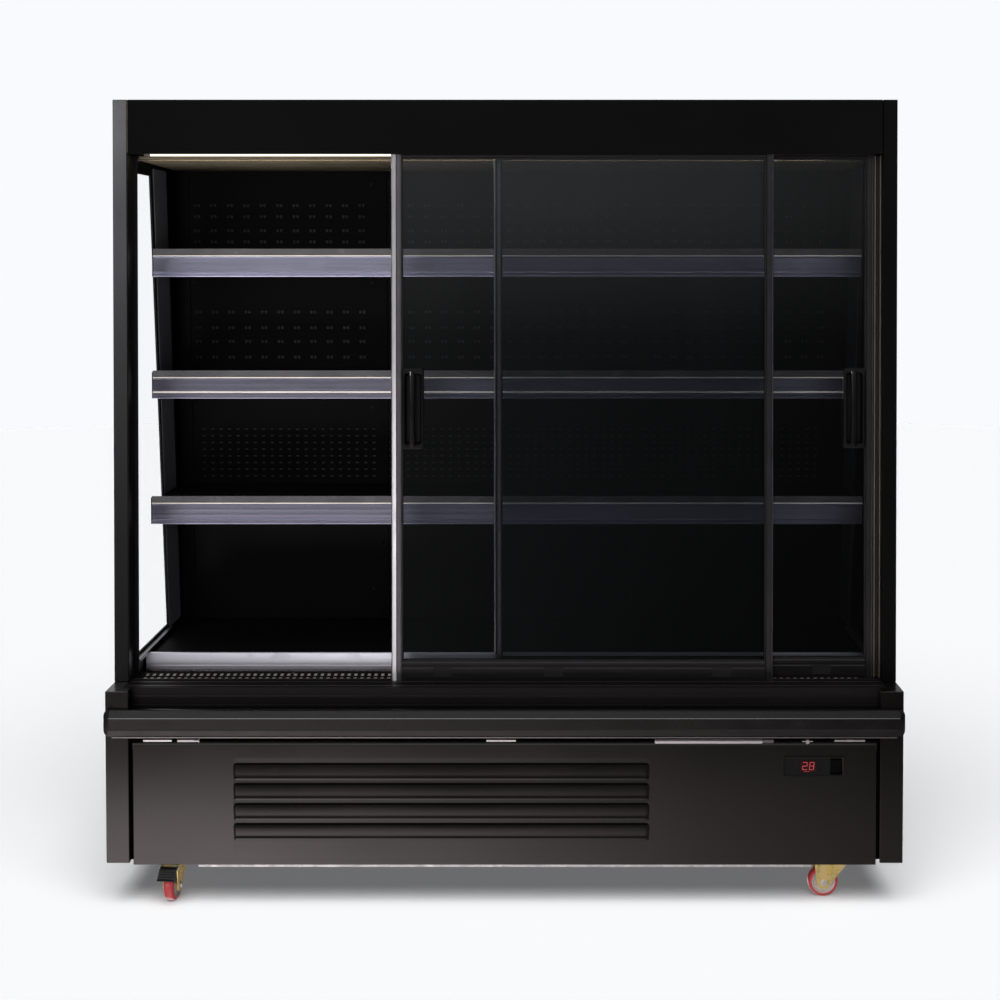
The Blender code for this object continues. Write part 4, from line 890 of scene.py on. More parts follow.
def bumper():
    """A vinyl bumper in its carrier: round nose, sunk flat face and a lighter lower lip."""
    a, b = low("bumper"), high("bumper")
    y0, y1, z0, z1 = a.y, b.y, a.z, b.z
    crest = z0 + 0.0455
    outline = [(y1, z0 + 0.001), (y1, z1 - 0.001), (y1 - 0.003, z1), (y1 - 0.0100, z1 - 0.0020),
               (y1 - 0.0160, z1 - 0.0062), (y0 + 0.0036, crest + 0.0075), (y0 + 0.0012, crest + 0.0030),
               (y0 + 0.0003, crest), (y0, crest - 0.0016), (y0 + 0.0008, crest - 0.0030),
               (y0 + 0.0022, crest - 0.0040), (y0 + 0.0024, z0 + 0.0180), (y0 + 0.0016, z0 + 0.0166),
               (y0 + 0.0002, z0 + 0.0156), (y0 + 0.0014, z0 + 0.0030), (y0 + 0.0034, z0 + 0.0008),
               (y0 + 0.0060, z0)]
    piece = extrusion("bumper_profile", outline, "X", a.x + 0.012, b.x - 0.012, "bumper", CASE, 0.0004,
                      None, 28)
    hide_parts("bumper")
    # The bead along the crest is a light strip standing for the crest's highlight: painted highlight; the bead
    # under the bumper is its carrier's edge.
    bm = bmesh.new()
    add_prism(bm, [(y0 + 0.0004, crest - 0.0006), (y0 - 0.0001, crest), (y0 + 0.0006, crest + 0.0012),
                   (y0 + 0.0020, crest + 0.0004)], "X", a.x + 0.014, b.x - 0.014)
    add_prism(bm, [(y0 + 0.0060, z0 - 0.0045), (y0 + 0.0060, z0 - 0.0016), (y0 + 0.0120, z0 - 0.0012),
                   (y0 + 0.0120, z0 - 0.0045)], "X", a.x + 0.020, b.x - 0.020)
    settle("bumper_beads", bm, "bead", CASE, 0.0002, 1)
    for side, x in (("left", a.x), ("right", b.x)):
        away = -1 if side == "left" else 1
        bm = bmesh.new()
        sections = []
        steps = 8
        nose = 0.0122
        centre_y, centre_z = (y0 + y1) / 2 + 0.001, (z0 + z1) / 2
        half_y, half_z = (y1 - y0) / 2 + 0.001, (z1 - z0) / 2
        for i in range(steps + 1):
            turn = i / steps * math.pi / 2
            run = nose * math.sin(turn)
            shrink = 1 - 0.62 * (1 - math.cos(turn))
            sections.append([bm.verts.new((x - away * (nose - run), min(y1 - 0.0002, centre_y + u * shrink),
                                           centre_z + v * (0.35 + 0.65 * shrink)))
                             for u, v in rounded(-half_y, -half_z, half_y, half_z, 0.0095, 5)])
        skin(bm, sections)
        bm.faces.new(sections[0])
        bm.faces.new(sections[-1])
        settle("bumper_end_" + side, bm, "bumper", CASE, 0, 1, 50)


bumper()


def under_bumper():
    """Hooks that the front panel hangs from, its latches, and the service bar beside them."""
    y = PANEL_Y
    bm = bmesh.new()
    for x0, x1 in ((-0.897, -0.825), (-0.0454, 0.0289), (0.8186, 0.895)):
        add_prism(bm, rounded(x0, 0.4098, x1, 0.4142, 0.0021, 4), "Y", y + 0.001, y + 0.006)
    settle("panel_hooks", bm, "bright", CASE, 0.0003, 1)
    bm = bmesh.new()
    add_box(bm, (-0.812, y + 0.002, 0.4086), (-0.768, y + 0.008, 0.4140))
    add_rod(bm, (-0.772, y + 0.004, 0.4112), (-0.757, y + 0.004, 0.4112), 0.0030, 14)
    add_rod(bm, (-0.760, y + 0.004, 0.4112), (-0.757, y + 0.004, 0.4112), 0.0046, 16)
    add_rod(bm, (0.752, y - 0.0005, 0.4095), (0.752, y + 0.012, 0.4095), 0.0052, 18)
    add_box(bm, (0.739, y + 0.004, 0.4075), (0.765, y + 0.010, 0.4108))
    settle("panel_latches", bm, "silver", CASE, 0.0003, 1)
    bar = [(y + 0.0010, 0.4050), (y + 0.0006, 0.4110), (y + 0.0030, 0.4150), (y + 0.008, 0.4150),
           (y + 0.008, 0.4050)]
    extrusion("service_bar", bar, "X", 0.373, 0.640, "silver", segments=1)
    # The bar's end block is in the shaded copy of the silver: painted shade.
    boxes("service_bar_end", [((0.640, y + 0.0014, 0.4060), (0.668, y + 0.009, 0.4145))], "silver_dark", CASE,
          0.0006, 1)
    # A dark strip behind the gap under the bumper: painted shade.
    boxes("gap_shade_backing", [((-0.9300, y + 0.024, 0.405), (0.9300, y + 0.026, 0.440))], "void")


under_bumper()


def controller_details():
    """Bezel rim, figures behind a dark lens, four keys and the switch's collar."""
    face = low("controller_housing").y
    x0, x1, z0, z1 = BEZEL
    bm = bmesh.new()
    outer = rounded(x0 + 0.001, z0 + 0.001, x1 - 0.001, z1 - 0.001, 0.004, 5)
    inner = rounded(x0 + 0.0035, z0 + 0.0035, x1 - 0.0035, z1 - 0.0035, 0.003, 5)
    skin(bm, loops(bm, "Y", (outer, face), (outer, face - 0.0010), (inner, face - 0.0006),
                   (inner, face + 0.0002)))
    settle("controller_rim", bm, "plastic_matt")

    bm = bmesh.new()
    z, width, tall, bar, gap = 0.3400, 0.0125, 0.0205, 0.0023, 0.0003
    half = tall / 2
    slope = Matrix(((1, 0, 0.12, -0.12 * z), (0, 1, 0, 0), (0, 0, 1, 0), (0, 0, 0, 1)))
    for x, lit in ((0.7375, "abged"), (0.7545, "abcdefg")):
        strokes = {
            "a": ((x, z + tall - bar), (x + width, z + tall)),
            "g": ((x, z + half - bar / 2), (x + width, z + half + bar / 2)),
            "d": ((x, z), (x + width, z + bar)),
            "f": ((x, z + half), (x + bar, z + tall)),
            "b": ((x + width - bar, z + half), (x + width, z + tall)),
            "e": ((x, z), (x + bar, z + half)),
            "c": ((x + width - bar, z), (x + width, z + half)),
        }
        for key in lit:
            (u0, v0), (u1, v1) = strokes[key]
            add_box(bm, (u0 + gap, face + 0.0001, v0 + gap), (u1 - gap, face + 0.0005, v1 - gap), slope)
    add_box(bm, (0.7425, face + 0.0001, 0.3362), (0.7560, face + 0.0005, 0.3372))
    settle("display_figures", bm, "digit")
    extrusion("display_lens", rounded(0.7330, 0.3365, 0.7730, 0.3630, 0.002, 4), "Y", face + 0.0006,
              face + 0.0008, "display", CASE, 0.0)
    bm = bmesh.new()
    for x in (0.7065, 0.7185):
        for z in (0.3405, 0.3575):
            add_rod(bm, (x, face - 0.0008, z), (x, face + 0.0005, z), 0.0034, 18)
    settle("controller_keys", bm, "plastic_matt", CASE, 0.0004)
    bm = bmesh.new()
    x0, z0, x1, z1 = 0.8065, 0.3275, 0.8395, 0.3720
    outer = rounded(x0, z0, x1, z1, 0.003, 4)
    inner = rounded(x0 + 0.0018, z0 + 0.0018, x1 - 0.0018, z1 - 0.0018, 0.002, 4)
    skin(bm, loops(bm, "Y", (outer, face - 0.0002), (outer, face - 0.0016), (inner, face - 0.0014),
                   (inner, face + 0.0020)))
    settle("switch_collar", bm, "bumper")


controller_details()

# ---------------------------------------------------------------- canopy, lamp and interior


def canopy_details():
    """Liner sheet, honeycomb of the air outlet, the lamp's fittings, and a beige strip beside the fascia that
    is painted light, a warm line of light there.
    """
    liner = [(-0.1795, 1.8619), (0.2790, 1.8554), (0.2790, 1.8569), (-0.1795, 1.8634)]
    extrusion("canopy_liner_sheet", liner, "X", -0.9525, 0.9525, "canopy_inner", CASE, 0.0003, segments=1)
    bm = bmesh.new()
    pitch, row_pitch, fall = 0.014, 0.0125, 0.0142
    for row in range(4):
        y = -0.160 + row * row_pitch
        for column in range(int(1.86 / pitch)):
            x = -0.93 + column * pitch + (pitch / 2 if row % 2 else 0)
            add_rod(bm, (x, y, 1.8577 - row_pitch * fall * row), (x, y, 1.8615), 0.0052, 6)
    settle("air_outlet_honeycomb", bm, "canopy_inner")
    boxes("air_outlet_frame", [((-0.9525, -0.1795, 1.8590), (0.9525, -0.1775, 1.8640))], "canopy_inner", CASE,
          0.0005)
    lip = [(-0.2082, 1.8645), (-0.2082, 1.8692), (-0.2070, 1.8692), (-0.2070, 1.8658), (-0.1800, 1.8650),
           (-0.1800, 1.8638)]
    extrusion("lamp_lip", lip, "X", -0.9400, 0.9400, "canopy_inner", CASE, 0.0003, segments=1)
    a, b = low("canopy_lamp"), high("canopy_lamp")
    boxes("lamp_end_caps", [((x, a.y - 0.0008, a.z - 0.0008), (x + 0.016, b.y + 0.0008, b.z + 0.0008))
                            for x in (a.x - 0.012, b.x - 0.004)], "hub", CASE, 0.0015, 2)
    boxes("lamp_channel", [((a.x + 0.01, a.y + 0.002, b.z), (b.x - 0.01, b.y - 0.001, b.z + 0.004))], "trim",
          CASE, 0.0005)
    # A beige strip standing for a warm line of light beside the fascia: painted light.
    boxes("fascia_warm_light_strip_left", [((-0.9549, 0.0010, 1.3400), (-0.9530, 0.0060, 1.4700))], "canopy_inner", CASE,
          0.0004, 1, FRONT_PLANE)


canopy_details()


WINDOW = [(-0.228, 0.584), (0.147, 0.584), (-0.024, 1.827), (-0.200, 1.827)]
WINDOW_OUT = [(-0.226, 0.546), (0.325, 0.546), (0.148, 1.842), (-0.196, 1.842)]


def end_frames():
    """Each end: a box-section frame whose window widens outwards, the pane, its seal and liner strips."""
    slope = math.tan(LEAN)
    middle = [sum(corner[k] for corner in WINDOW) / 4 for k in (0, 1)]

    def window(grow):
        return [(p + math.copysign(grow, p - middle[0]), q + math.copysign(grow, q - middle[1]))
                for p, q in WINDOW]

    # The left window ledge takes the shaded copy of the silver: painted shade.
    for side, sign, glass, slot, ledge in (("left", -1, "glass_side", "clear_glass", "silver_dark"),
                                           ("right", 1, "dark_pane", "dark_glass", "liner_grey")):
        cad = "side_frame_" + side
        inner_x, outer_x = sign * CLEAR_HALF, sign * 0.990
        z0, z1 = low(cad).z, high(cad).z
        outside = [(FRONT_Y + (z0 - FOOT_Z) * slope, z0), (0.42, z0), (0.42, z1),
                   (FRONT_Y + (z1 - FOOT_Z) * slope, z1)]
        bm = bmesh.new()
        rings = loops(bm, "X", (outside, outer_x), (outside, inner_x), (WINDOW, inner_x),
                      (WINDOW_OUT, outer_x))
        skin(bm, rings + rings[:1])
        piece = settle("end_frame_" + side, bm, "paint_matt", CASE, 0.0012, 2, 20)
        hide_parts(cad)

        def strip(name, outline, near, far, kind, bevel):
            return extrusion(name + side, outline, "X", *sorted((near, far)), kind, CASE, bevel)

        piece = strip("end_pane_", [(-0.234, 0.560), (0.243, 0.560), (0.070, 1.840), (-0.205, 1.840)],
                      sign * 0.9695, sign * 0.9755, glass, 0.0003)
        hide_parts("side_glass_" + side)
        strip("end_liner_strip_", [(0.006, 1.8480), (0.160, 1.8480), (0.306, 0.5720), (0.162, 0.5720)],
              inner_x, inner_x - sign * 0.0026, "liner_grey", 0.0010)
        strip("end_liner_rear_", [(0.1640, 1.8480), (0.2790, 1.8480), (0.3290, 0.5720), (0.3100, 0.5720)],
              inner_x, inner_x - sign * 0.0012, "liner", 0.0003)
        strip("window_ledge_", [(-0.235, 0.5700), (0.160, 0.5700), (0.160, 0.5770), (-0.235, 0.5770)],
              sign * 0.9625, sign * 0.9400, ledge, 0.001)

        bm = bmesh.new()
        proud = inner_x - sign * 0.0012
        skin(bm, loops(bm, "X", (window(0.0002), inner_x + sign * 0.0030), (window(0.0002), proud),
                       (window(0.0030), proud), (window(0.0034), inner_x)))
        piece = settle("window_seal_" + side, bm, "seal", CASE, 0, 1, 70)
        thick = piece.modifiers.new("wall", "SOLIDIFY")
        thick.thickness = 0.0008
        thick.offset = 0

    foot, head = 0.004, 1.335
    # The right jamb is warm beige for the lamp's light on it: painted light.
    boxes("door_jamb_right", [((0.9393, 0.0300, foot), (0.9410, 0.0600, head)),
                              ((0.9528, 0.0300, foot), (0.9546, 0.0600, head)),
                              ((0.9393, 0.0580, foot), (0.9546, 0.0600, head))], "jamb", CASE, 0.0004, 1,
          FRONT_PLANE)
    boxes("door_jamb_pile", [((0.9425, 0.0400, 0.006), (0.9515, 0.0560, 1.333))], "seal", CASE, 0.0008, 1,
          FRONT_PLANE)
    boxes("door_jamb_left", [((-0.9546, 0.0020, foot), (-0.9528, 0.0600, head)),
                             ((-0.9546, 0.0580, foot), (-0.9415, 0.0600, head))], "black_anodised", CASE,
          0.0004, 1, FRONT_PLANE)


end_frames()


def duct_slots():
    """Rows of pressed vents over the inner back, coarse at the top and finer lower down."""
    bm = bmesh.new()

    def vent(x, z, wide, tall, deep):
        put = DUCT_PLANE @ Matrix.Translation((x, 0, z))
        base = [(-wide / 2, -tall / 2), (wide / 2, -tall / 2), (wide / 2, tall / 2), (-wide / 2, tall / 2)]
        back = [bm.verts.new(put @ Vector((u, -0.0002, v))) for u, v in base]
        front = [bm.verts.new(put @ Vector((u * 0.8, -deep, v * 0.2 + tall * 0.22))) for u, v in base]
        skin(bm, [back, front])
        bm.faces.new(front)

    def free(x, limit):
        """Whether a vent at x stays clear of the uprights and of the ends."""
        return abs(x) < limit and min(abs(x - u) for u in UPRIGHT_X) > 0.022

    for z in (1.074, 1.106, 1.138, 1.178, 1.210, 0.700, 0.733, 0.775, 0.820, 0.860, 0.905):
        for x in [i * 0.047 for i in range(-20, 21)]:
            if free(x, 0.92):
                vent(x - 0.0052, z, 0.0068, 0.0085, 0.0022)
                vent(x + 0.0052, z, 0.0068, 0.0085, 0.0022)
    for row in range(8):
        for x in [column * 0.0245 for column in range(-36, 37)]:
            if free(x, 0.90):
                vent(x, 0.430 + row * 0.0195, 0.0085, 0.0040, 0.0014)
    # The vents take the lighter grey, lighter than the sheet they are pressed from: painted glints.
    settle("duct_vents_painted_glints", bm, "liner_grey", CASE, 0, 1, 20)
    boxes("duct_sheet_laps", [((x0, -0.0016, z), (x1, 0.0, z + 0.0030)) for z in (0.145, 0.380, 0.650, 1.010)
                              for x0, x1 in ((-0.914, -0.384), (-0.350, 0.350), (0.384, 0.914))],
          "liner", CASE, 0.0005, 1, DUCT_PLANE)
    rods("duct_screws", [((x, -0.0018, z), (x, 0.0, z)) for x in (-0.905, -0.395, -0.340, 0.340, 0.395, 0.905)
                         for z in (0.10, 0.36, 0.63, 0.99, 1.27)],
         0.0035, "black_anodised", CASE, 12, 0.0045, 0.0, DUCT_PLANE)


duct_slots()


def shelf_details():
    """Stiffening folds under the shelves, and the bracket hooks behind them."""
    for label in ("top", "middle", "lower"):
        a, b = low("shelf_" + label), high("shelf_" + label)
        bm = bmesh.new()
        for share in (0.28, 0.52, 0.76):
            y = a.y + share * (b.y - a.y)
            fold = [(y - 0.010, b.z - 0.0020), (y - 0.006, b.z - 0.0065), (y + 0.006, b.z - 0.0065),
                    (y + 0.010, b.z - 0.0020)]
            for x0, x1 in ((a.x + 0.002, -0.935), (-0.925, -0.372), (-0.362, 0.362), (0.372, 0.925)):
                add_prism(bm, fold, "X", x0, x1)
        settle("shelf_%s_stiffeners" % label, bm, "shelf", CASE, 0.0008, 1)
        boxes("shelf_%s_hooks" % label, [((x - 0.0014, b.y - 0.006, b.z - drop - 0.005),
                                          (x + 0.0014, b.y + 0.0065, b.z - drop))
                                         for x in UPRIGHT_X for drop in (0.012, 0.050)],
              "shelf", CASE, 0.0003)


shelf_details()


def grille_bars():
    """Slanted bars of the air return and of the ledge before it, a dark strip of painted shade under the
    ledge's bars, rib lines and screws.
    """
    a, b = low("air_return_grille"), high("air_return_grille")
    pitch, wide = 0.0173, 0.0078
    bm = bmesh.new()
    for y0, y1, z, high_z, x_first, x_last in (
            (a.y + 0.010, b.y - 0.003, b.z, b.z + 0.0010, a.x + 0.012, b.x - 0.02),
            (-0.2690, -0.2180, SILL_TOP - 0.0003, SILL_TOP + 0.0003, -0.9250, 0.9150)):
        lean_x = -0.04 * (y1 - y0)
        for i in range(int((x_last - x_first) / pitch)):
            x = x_first + i * pitch
            add_prism(bm, [(x, y0), (x + wide, y0), (x + wide + lean_x, y1), (x + lean_x, y1)], "Z",
                      z + 0.0002, high_z)
    add_box(bm, (a.x + 0.004, a.y + 0.001, b.z + 0.0001), (b.x - 0.004, a.y + 0.009, b.z + 0.0022))
    settle("grille_bars", bm, "grille_bar", CASE, 0.0002, 1)
    # A dark strip under the ledge's bars: painted shade in the slots.
    boxes("grille_slot_shade", [((-0.9300, -0.2695, SILL_TOP - 0.0002), (0.9300, -0.1985, SILL_TOP + 0.00014))],
          "void")
    # Lines along the sill's rib tops, lighter than the sill.
    boxes("sill_rib_lines", [((-0.9450, y - 0.0017, SILL_TOP + 0.0001),
                              (0.9450, y + 0.0017, SILL_TOP + 0.0009)) for y in (-0.2715, -0.2995, -0.3400)],
          "rib", CASE, 0.0002)
    bm = bmesh.new()
    for x in (-0.512, 0.0, 0.512):
        add_turned(bm, [(0, 0.0024), (0.0035, 0.0022), (0.0055, 0.0010), (0.0058, 0.0)], 18,
                   Matrix.Translation((x, a.y + 0.024, b.z + 0.0010)))
    settle("grille_screws", bm, "silver")


grille_bars()


def sill_details():
    """Dark feet of the running ribs, screws in the sill, and two beads along its face."""
    boxes("sill_rib_feet", [((-0.952, y - 0.0021, SILL_TOP + 0.0001), (0.952, y + 0.0021, SILL_TOP + 0.0008))
                            for y in (FRONT_Y + 0.0145, FRONT_Y + 0.0465)], "black_anodised", CASE, 0.0002)
    rods("sill_screws", [((x, y, SILL_TOP - 0.0001), (x, y, SILL_TOP + 0.0009))
                         for x in (-0.93, -0.55, -0.18, 0.18, 0.55, 0.93) for y in (-0.335, -0.215)],
         0.0046, "black_anodised", CASE, 16, 0.0036)
    boxes("sill_face_beads", [((-0.9300, -0.3592, z), (0.9300, -0.3578, z + 0.0018))
                              for z in (0.5140, 0.4915)], "black_anodised", CASE, 0.0004)


sill_details()

# ---------------------------------------------------------------- casters

CORNERS = {
    "front_left": (-0.831, -0.326, -6), "front_right": (0.831, -0.326, -88),
    "rear_left": (-0.831, 0.330, 150), "rear_right": (0.831, 0.330, 205),
}


AXLE = (-0.029, 0.0375)


def caster_place(label):
    x, y, yaw = CORNERS[label]
    return Matrix.Translation((x, y, 0)) @ Matrix.Rotation(math.radians(yaw), 4, "Z")


def caster(label):
    """Fixed plate and bolts; race, nuts and cheeks on the fork; tread and hub on the wheel."""
    x, y, _ = CORNERS[label]
    fork_at = caster_place(label)
    wheel_at = fork_at @ Matrix.Translation((0, *AXLE)) @ Matrix.Rotation(math.radians(90), 4, "Y")
    fork_body = "fork_" + label
    wheel_body = "wheel_" + label

    # top plate with its four bolts, fixed to the base
    extrusion("caster_plate_" + label, rounded(-0.047, -0.037, 0.047, 0.037, 0.008, 4), "Z", 0.0990, 0.1018,
              "yellow", CASE, 0.0006, Matrix.Translation((x, y, 0)))
    bm = bmesh.new()
    for u in (-0.037, 0.037):
        for v in (-0.027, 0.027):
            add_rod(bm, (x + u, y + v, 0.0962), (x + u, y + v, 0.0990), 0.0060, 6)
            add_rod(bm, (x + u, y + v, 0.0955), (x + u, y + v, 0.0965), 0.0032, 14)
    settle("caster_bolts_" + label, bm, "bright", CASE, 0.0005, 1)

    # ball race and king pin on the fork
    bm = bmesh.new()
    add_turned(bm, [(0, 0.0988), (0.0235, 0.0988), (0.0262, 0.0975), (0.0268, 0.0955), (0.0250, 0.0930),
                    (0.0215, 0.0918), (0.0190, 0.0925), (0.0, 0.0925)], 36, fork_at)
    settle("caster_race_" + label, bm, "yellow", fork_body, 0, 1, 40)
    bm = bmesh.new()
    add_turned(bm, [(0, 0.0915), (0.0062, 0.0912), (0.0068, 0.0885), (0.0045, 0.0862), (0, 0.0855)], 20,
               fork_at)
    for side in (-1, 1):
        for near, far, radius, corners in ((0.0196, 0.0236, 0.0072, 6), (0.0197, 0.0208, 0.0090, 24),
                                           (0.0230, 0.0246, 0.0038, 14)):
            add_rod(bm, (side * near, *AXLE), (side * far, *AXLE), radius, corners, None, fork_at)
    settle("caster_axle_nuts_" + label, bm, "bright", fork_body, 0.0004, 1)

    # wide triangular cheeks with a fold down to the axle
    bm = bmesh.new()
    cheek = [(-0.0530, 0.0940), (-0.0515, 0.0780), (-0.0485, 0.0520),
             *arc((-0.0335, 0.0395), 0.0135, 185, 300, 7), (0.0335, 0.0870), (0.0385, 0.0940)]
    fold = [(-0.0100, 0.0940), (-0.0060, 0.0940), (-0.0250, 0.0500), (-0.0270, 0.0500)]
    for side in (-1, 1):
        add_prism(bm, cheek, "X", *sorted((side * 0.0187, side * 0.0199)), fork_at)
        add_prism(bm, fold, "X", *sorted((side * 0.0197, side * 0.0208)), fork_at)
    settle("caster_cheeks_" + label, bm, "yellow", fork_body, 0.0005, 2)

    # wheel: tread, rim and hub
    half = 0.013
    tread = [(0.0292, half - 0.0006), (0.0330, half), (0.0352, half - 0.0012), (0.0368, half - 0.0036),
             (0.0375, half - 0.0070), (0.0375, 0.0), (0.0375, -half + 0.0070), (0.0368, -half + 0.0036),
             (0.0352, -half + 0.0012), (0.0330, -half), (0.0292, -half + 0.0006)]
    bm = bmesh.new()
    add_turned(bm, tread, 48, wheel_at)
    piece = settle("wheel_tread_" + label, bm, "red", wheel_body, 0, 1, 50)
    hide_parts("caster_wheel_" + label)
    face = [(0.0048, half + 0.0014), (0.0100, half + 0.0014), (0.0112, half - 0.0002),
            (0.0125, half - 0.0036), (0.0230, half - 0.0046), (0.0262, half - 0.0030),
            (0.0280, half - 0.0004), (0.0296, half - 0.0004)]
    bm = bmesh.new()
    add_turned(bm, face + [(r, -h) for r, h in reversed(face)], 48, wheel_at)
    for side in (-1, 1):
        for i in range(6):
            turn = wheel_at @ Matrix.Rotation(math.radians(60 * i), 4, "Z")
            add_box(bm, (0.0115, -0.0010, side * (half - 0.0046) - 0.0012),
                    (0.0265, 0.0010, side * (half - 0.0030) + 0.0004), turn)
    settle("wheel_hub_" + label, bm, "hub", wheel_body, 0, 1, 40)


for corner in CORNERS:
    caster(corner)


def pedal():
    """Grip ribs, rolled edge and hinge pin of the brake pedal."""
    at = caster_place("front_left")
    bm = bmesh.new()
    v0, z0, v1, z1 = -0.0598, 0.0915, -0.0858, 0.0655
    for share in (0.18, 0.36, 0.54, 0.72, 0.90):
        v = v0 + (v1 - v0) * share
        z = z0 + (z1 - z0) * share + 0.0004
        add_rod(bm, (-0.0185, v, z), (0.0185, v, z), 0.0011, 8, None, at)
    add_rod(bm, (-0.0222, v1 + 0.0012, z1 + 0.0002), (0.0222, v1 + 0.0012, z1 + 0.0002), 0.0021, 12, None, at)
    settle("pedal_grip_ribs", bm, "plastic_matt", "pedal")
    rods("pedal_pin", [((side * 0.0222, -0.0538, 0.088), (side * 0.0242, -0.0538, 0.088))
                       for side in (-1, 1)], 0.0032, "bright", "pedal", 14, None, 0.0, at)


pedal()

# ---------------------------------------------------------------- machine compartment, back and roof


def machinery():
    """The compressor's fittings, refrigerant pipes, filter drier, electrical box, drain and fan guard."""
    a, b = low("compressor"), high("compressor")
    cx, cy = (a.x + b.x) / 2, (a.y + b.y) / 2
    boxes("compressor_terminal_box", [((cx + 0.070, cy - 0.035, a.z + 0.080),
                                       (cx + 0.108, cy + 0.035, a.z + 0.150))], "plastic_matt", CASE, 0.004, 3)
    bm = bmesh.new()
    add_turned(bm, [(0.0852, a.z + 0.0780), (0.0880, a.z + 0.0770), (0.0880, a.z + 0.0730),
                    (0.0852, a.z + 0.0720)], 48, Matrix.Translation((cx, cy, 0)))
    settle("compressor_weld_seam", bm, "paint", CASE)
    bm = bmesh.new()
    foot = [(0, a.z + 0.036), (0.006, a.z + 0.036), (0.006, a.z + 0.030), (0.013, a.z + 0.029),
            (0.013, a.z + 0.0245), (0, a.z + 0.0245)]
    for u in (-0.095, 0.095):
        for v in (-0.060, 0.060):
            add_turned(bm, foot, 20, Matrix.Translation((cx + u, cy + v, 0)))
    settle("compressor_mounts", bm, "seal", CASE)

    def bend(points, radius=0.014, count=5):
        path = [Vector(points[0])]
        for p, q, r in zip(points, points[1:], points[2:]):
            p, q, r = Vector(p), Vector(q), Vector(r)
            d0, d1 = (p - q).normalized(), (r - q).normalized()
            start, end = q + d0 * radius, q + d1 * radius
            for i in range(count + 1):
                t = i / count
                path.append((1 - t) ** 2 * start + 2 * t * (1 - t) * q + t * t * end)
        path.append(Vector(points[-1]))
        return path

    tube("discharge_pipe", bend([(cx + 0.03, cy - 0.060, a.z + 0.175), (cx + 0.03, cy - 0.130, a.z + 0.175),
                                 (cx + 0.03, cy - 0.130, 0.300), (-0.250, cy - 0.130, 0.300),
                                 (-0.250, -0.320, 0.300), (-0.228, -0.320, 0.300)]), 0.0045, "copper")
    tube("suction_pipe", bend([(cx - 0.05, cy + 0.050, a.z + 0.150), (cx - 0.05, cy + 0.115, a.z + 0.150),
                               (cx - 0.05, cy + 0.115, 0.332), (-0.780, cy + 0.115, 0.332),
                               (-0.780, cy + 0.115, 0.3440)]), 0.0060, "copper")
    bm = bmesh.new()
    add_turned(bm, [(0, 0.115), (0.006, 0.118), (0.016, 0.135), (0.016, 0.205), (0.006, 0.225), (0, 0.230)],
               24, Matrix.Translation((-0.330, 0.060, 0)))
    settle("filter_drier", bm, "copper", CASE, 0, 1, 40)
    tube("liquid_pipe", bend([(-0.330, 0.060, 0.226), (-0.330, 0.060, 0.320), (-0.330, 0.250, 0.320),
                              (-0.330, 0.250, 0.3440)]), 0.0035, "copper")
    tube("filter_foot_pipe", bend([(-0.330, 0.060, 0.119), (-0.330, 0.060, 0.1125), (-0.240, 0.060, 0.1125),
                                   (-0.240, -0.250, 0.1125), (-0.240, -0.300, 0.1125)]), 0.0035, "copper")
    boxes("electrical_box", [((0.610, -0.340, 0.150), (0.860, -0.200, 0.300))], "paint_matt", CASE, 0.002, 2)
    # drain from the tub to the tray
    tube("drain_hose", bend([(0.560, 0.160, 0.3440), (0.560, 0.160, 0.250), (0.600, 0.160, 0.250),
                             (0.600, 0.160, 0.150)], 0.018), 0.009, "plastic_matt")
    guard = [arc((0.02, 0.226), radius, 0, 360, 36) for radius in (0.030, 0.050, 0.070, 0.090, 0.103)]
    rods("fan_guard", [((p[0], -0.2555, p[1]), (q[0], -0.2555, q[1])) for ring in guard
                       for p, q in zip(ring, ring[1:])], 0.0012, "bright", CASE, 6)


machinery()


